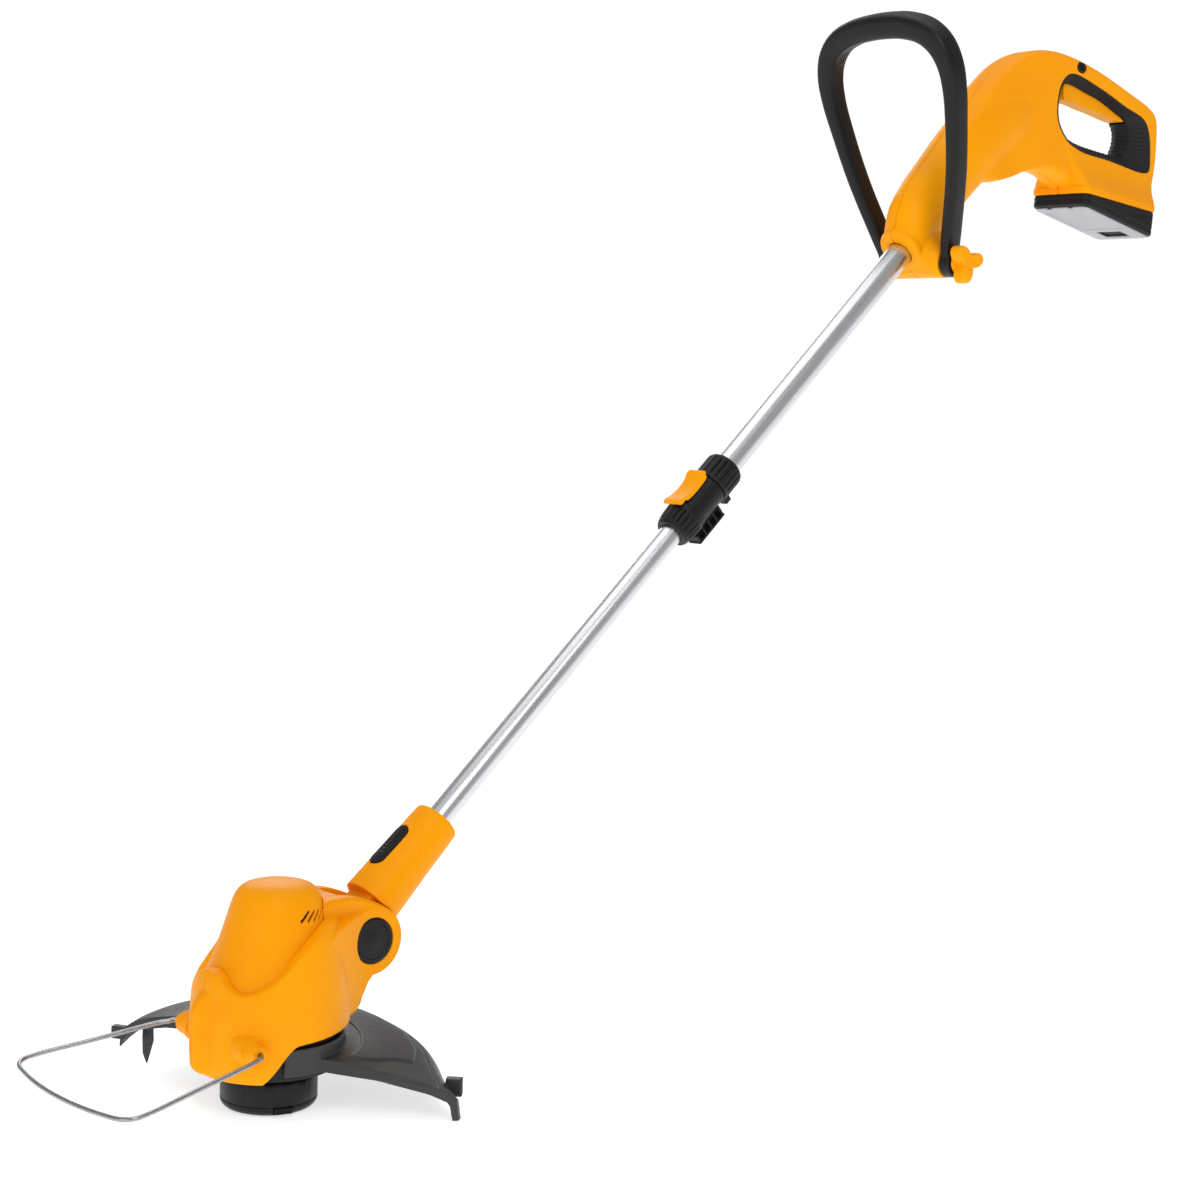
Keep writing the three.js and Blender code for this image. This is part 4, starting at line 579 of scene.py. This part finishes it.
for i, (x, s, a, b) in enumerate(ln):
    t = ln[min(i + 1, len(ln) - 1)] - ln[max(i - 1, 0)]; t3 = EX * t[0] + UP * t[1]; t3 /= np.linalg.norm(t3); ip = np.cross(NR, t3)
    R.append([(OB + UP * s + EX * x + ip * u + NR * v) for u, v in (rr_sec(q, a, b) for q in np.linspace(0, 2 * math.pi, 72, endpoint=False))])
lh = loft(R)
for s in (1, -1): join(lh, rodX(s * 35, s * 47.2, 767, 729.5, 14, 96, ch=1.2))
cut(lh, rodX(-60, 60, 767, 729.5, 4.3))
# rounded ribs on the inner side of the top grip
pts = np.interp(np.arange(mid - 78, mid + 78.1, 4.2), arc, np.arange(len(ln)))
for q in pts:
    i = int(round(q)); x, s, a, b = ln[i]; t = ln[min(i + 1, len(ln) - 1)] - ln[max(i - 1, 0)]; t3 = EX * t[0] + UP * t[1]; t3 /= np.linalg.norm(t3); ip = np.cross(NR, t3)
    if np.dot(ip, OB + UP * 150 - (OB + UP * s + EX * x)) < 0: ip = -ip
    c = OB + UP * s + EX * x + ip * (a + .1)
    cut(lh, loft([ring(c + NR * v, ip, t3, .95, .8, 20) for v in np.linspace(-b * .74, b * .74, 3)]))
piece(soften(lh, .62, 1), "loop_handle_v", "loop_handle", 'black_plastic', SAT, "loop_handle")
def lobes(k, n=180):
    return np.array([(767 + (14.6 + 6.6 * math.cos(3 * a) - k) * math.cos(a + .28), 729.5 + (14.6 + 6.6 * math.cos(3 * a) - k) * math.sin(a + .28)) for a in np.linspace(0, 2 * math.pi, n, endpoint=False)])
kn = loft([at(lobes(k), x) for x, k in ((51.5, 2), (51.9, .9), (52.8, .2), (54, 0), (62.6, 0), (64.4, .5), (65.5, 1.4), (66, 2.8))])
join(kn, rodX(48.2, 53, 767, 729.5, 10.5, 64)); cut(kn, rodX(40, 62, 767, 729.5, 4.4), rodX(64.6, 70, 767, 729.5, 7.4, 64))
piece(soften(kn, .45, 2), "star_knob_v", "star_knob", 'yellow_plastic', YEL, "star_knob")

# ---------------------------------------------------------------- battery
fl = lambda y: -12.5 - (y + 62) * .1133
def rr3(x0, y0, y1, r, dz, base=None): return np.array([(x, y, (fl(y) if base is None else base) + dz) for x, y in rrect(-x0, x0, y0, y1, r, 12)])
case = loft([rr3(34.8, -59.4, 63.4, 8, 0), rr3(36.2, -60.9, 64.9, 8.6, .5), rr3(37, -61.7, 65.7, 9, 1.3), rr3(37.25, -62, 66, 9, 2.6), rr3(37.25, -62, 66, 9, 6.4), rr3(36.7, -61.4, 65.4, 9, 6.8), rr3(36.7, -61.4, 65.4, 9, 7.6), rr3(37.25, -62, 66, 9, 8.0), rr3(37.25, -62, 66, 9, -1.2, 0), rr3(36.4, -61.2, 65.2, 8.6, -.2, 0)])
tw = loft([rr3(32.2, -52, 62, 4, -2, 0), rr3(32.2, -52, 62, 4, 10.4, 0), rr3(31.4, -51.2, 61.2, 3.6, 11.2, 0)])
for s in (1, -1):
    cut(tw, block(*(sorted((s * 29.4, s * 40))), -60, 58, 3.2, 7.0))
join(case, tw); cut(case, block(-31, 31, -50.4, 57, -45, 9.6))
for k in range(6):
    for s in (1, -1): cut(case, block(*sorted((s * 36.6, s * 40)), 20 + 5 * k, 22 + 5 * k, -11.5, -4.5))
for k in range(5): cut(case, block(-17 + 8 * k, -15 + 8 * k, -66, -61.3, -9.5, -3.5))
xf(case, pk); piece(soften(case, .6, 2), "battery_case_v", "battery", 'black_plastic', BLK, "battery_case")
pl = loft([rr3(33.6, -57.2, 60.2, 6.6, -2.0), rr3(34.4, -58, 61, 7, -1.5), rr3(34.4, -58, 61, 7, -.3)])
cut(pl, block(-16.4, 16.4, 31.6, 52.4, -60, 0)); [cut(pl, block(x - 3, x + 3, -60, -55.6, -30, 0)) for x in (-14, 14)]
gr = common(block(-28, 28, -46, 22, -60, 0), loft([rr3(30, -48, 26, 4, -3.0), rr3(30, -48, 26, 4, -1.55)])); cut(pl, gr)
xf(pl, pk); piece(bevel(pl, .3, 2, 50), "battery_plate_v", "battery", 'grey_plastic', GRY, "battery_plate")
lt = slab([[33, fl(33) + .4], [51, fl(51) + .4], [51, fl(51) + 3.4], [33, fl(33) + 3.4]], -15.6, 15.6)
for k in range(5): cut(lt, block(-13, 13, 35.4 + 3 * k, 36.6 + 3 * k, fl(36 + 3 * k) - 1, fl(36 + 3 * k) + 1.0))
xf(lt, pk); piece(bevel(lt, .5, 2, 50), "battery_latch_v", "battery_latch", 'black_plastic', DSC, "battery_latch")

# ---------------------------------------------------------------- studio
def studio():
    w = bpy.data.worlds.new("w"); bpy.context.scene.world = w; w.use_nodes = True
    t = w.node_tree; b = t.nodes["Background"]; b.inputs[0].default_value = (1, 1, 1, 1); b.inputs[1].default_value = 0.44
    b2 = t.nodes.new("ShaderNodeBackground"); b2.inputs[0].default_value = (1, 1, 1, 1); b2.inputs[1].default_value = 1.05
    mx = t.nodes.new("ShaderNodeMixShader"); lp = t.nodes.new("ShaderNodeLightPath"); t.links.new(lp.outputs["Is Camera Ray"], mx.inputs[0])
    t.links.new(b.outputs[0], mx.inputs[1]); t.links.new(b2.outputs[0], mx.inputs[2]); t.links.new(mx.outputs[0], t.nodes["World Output"].inputs[0])
    me = bpy.data.meshes.new("floor"); s = 60
    me.from_pydata([(-s, -s, 0), (s, -s, 0), (s, s, 0), (-s, s, 0)], [], [(0, 1, 2, 3)])
    f = bpy.data.objects.new("floor", me); C.objects.link(f)
    m = N("floor_white"); n = m.noise(3, 3); m.link(m.mix(n, (0.80, 0.80, 0.805), (0.84, 0.84, 0.845)), m.b.inputs["Base Color"])
    m.b.inputs["Roughness"].default_value = 0.8; m.b.inputs["Specular IOR Level"].default_value = 0.1
    m.b.inputs["Emission Color"].default_value = (1, 1, 1, 1); m.b.inputs["Emission Strength"].default_value = 0.66; me.materials.append(m.m)
    def area(name, loc, at_, size, power, col=(1, 1, 1)):
        l = bpy.data.lights.new(name, 'AREA'); l.shape = 'RECTANGLE'; l.size, l.size_y = size; l.energy = power; l.color = col
        o = bpy.data.objects.new(name, l); o.location = loc
        o.rotation_euler = (Vector(at_) - Vector(loc)).to_track_quat('-Z', 'Y').to_euler(); C.objects.link(o)
    area("key", (2.4, -1.0, 2.6), (0, .45, .4), (1.5, 1.5), 29)
    area("top", (-.2, .4, 3.2), (0, .4, .3), (2.6, 2.6), 28)
    area("rim", (-2.6, 1.6, 1.8), (0, .5, .4), (1.4, 1.8), 18)
    area("front", (.6, -3.2, 1.2), (0, .3, .4), (1.8, 1.4), 12)
bpy.context.scene.view_settings.view_transform = 'Standard'
studio()
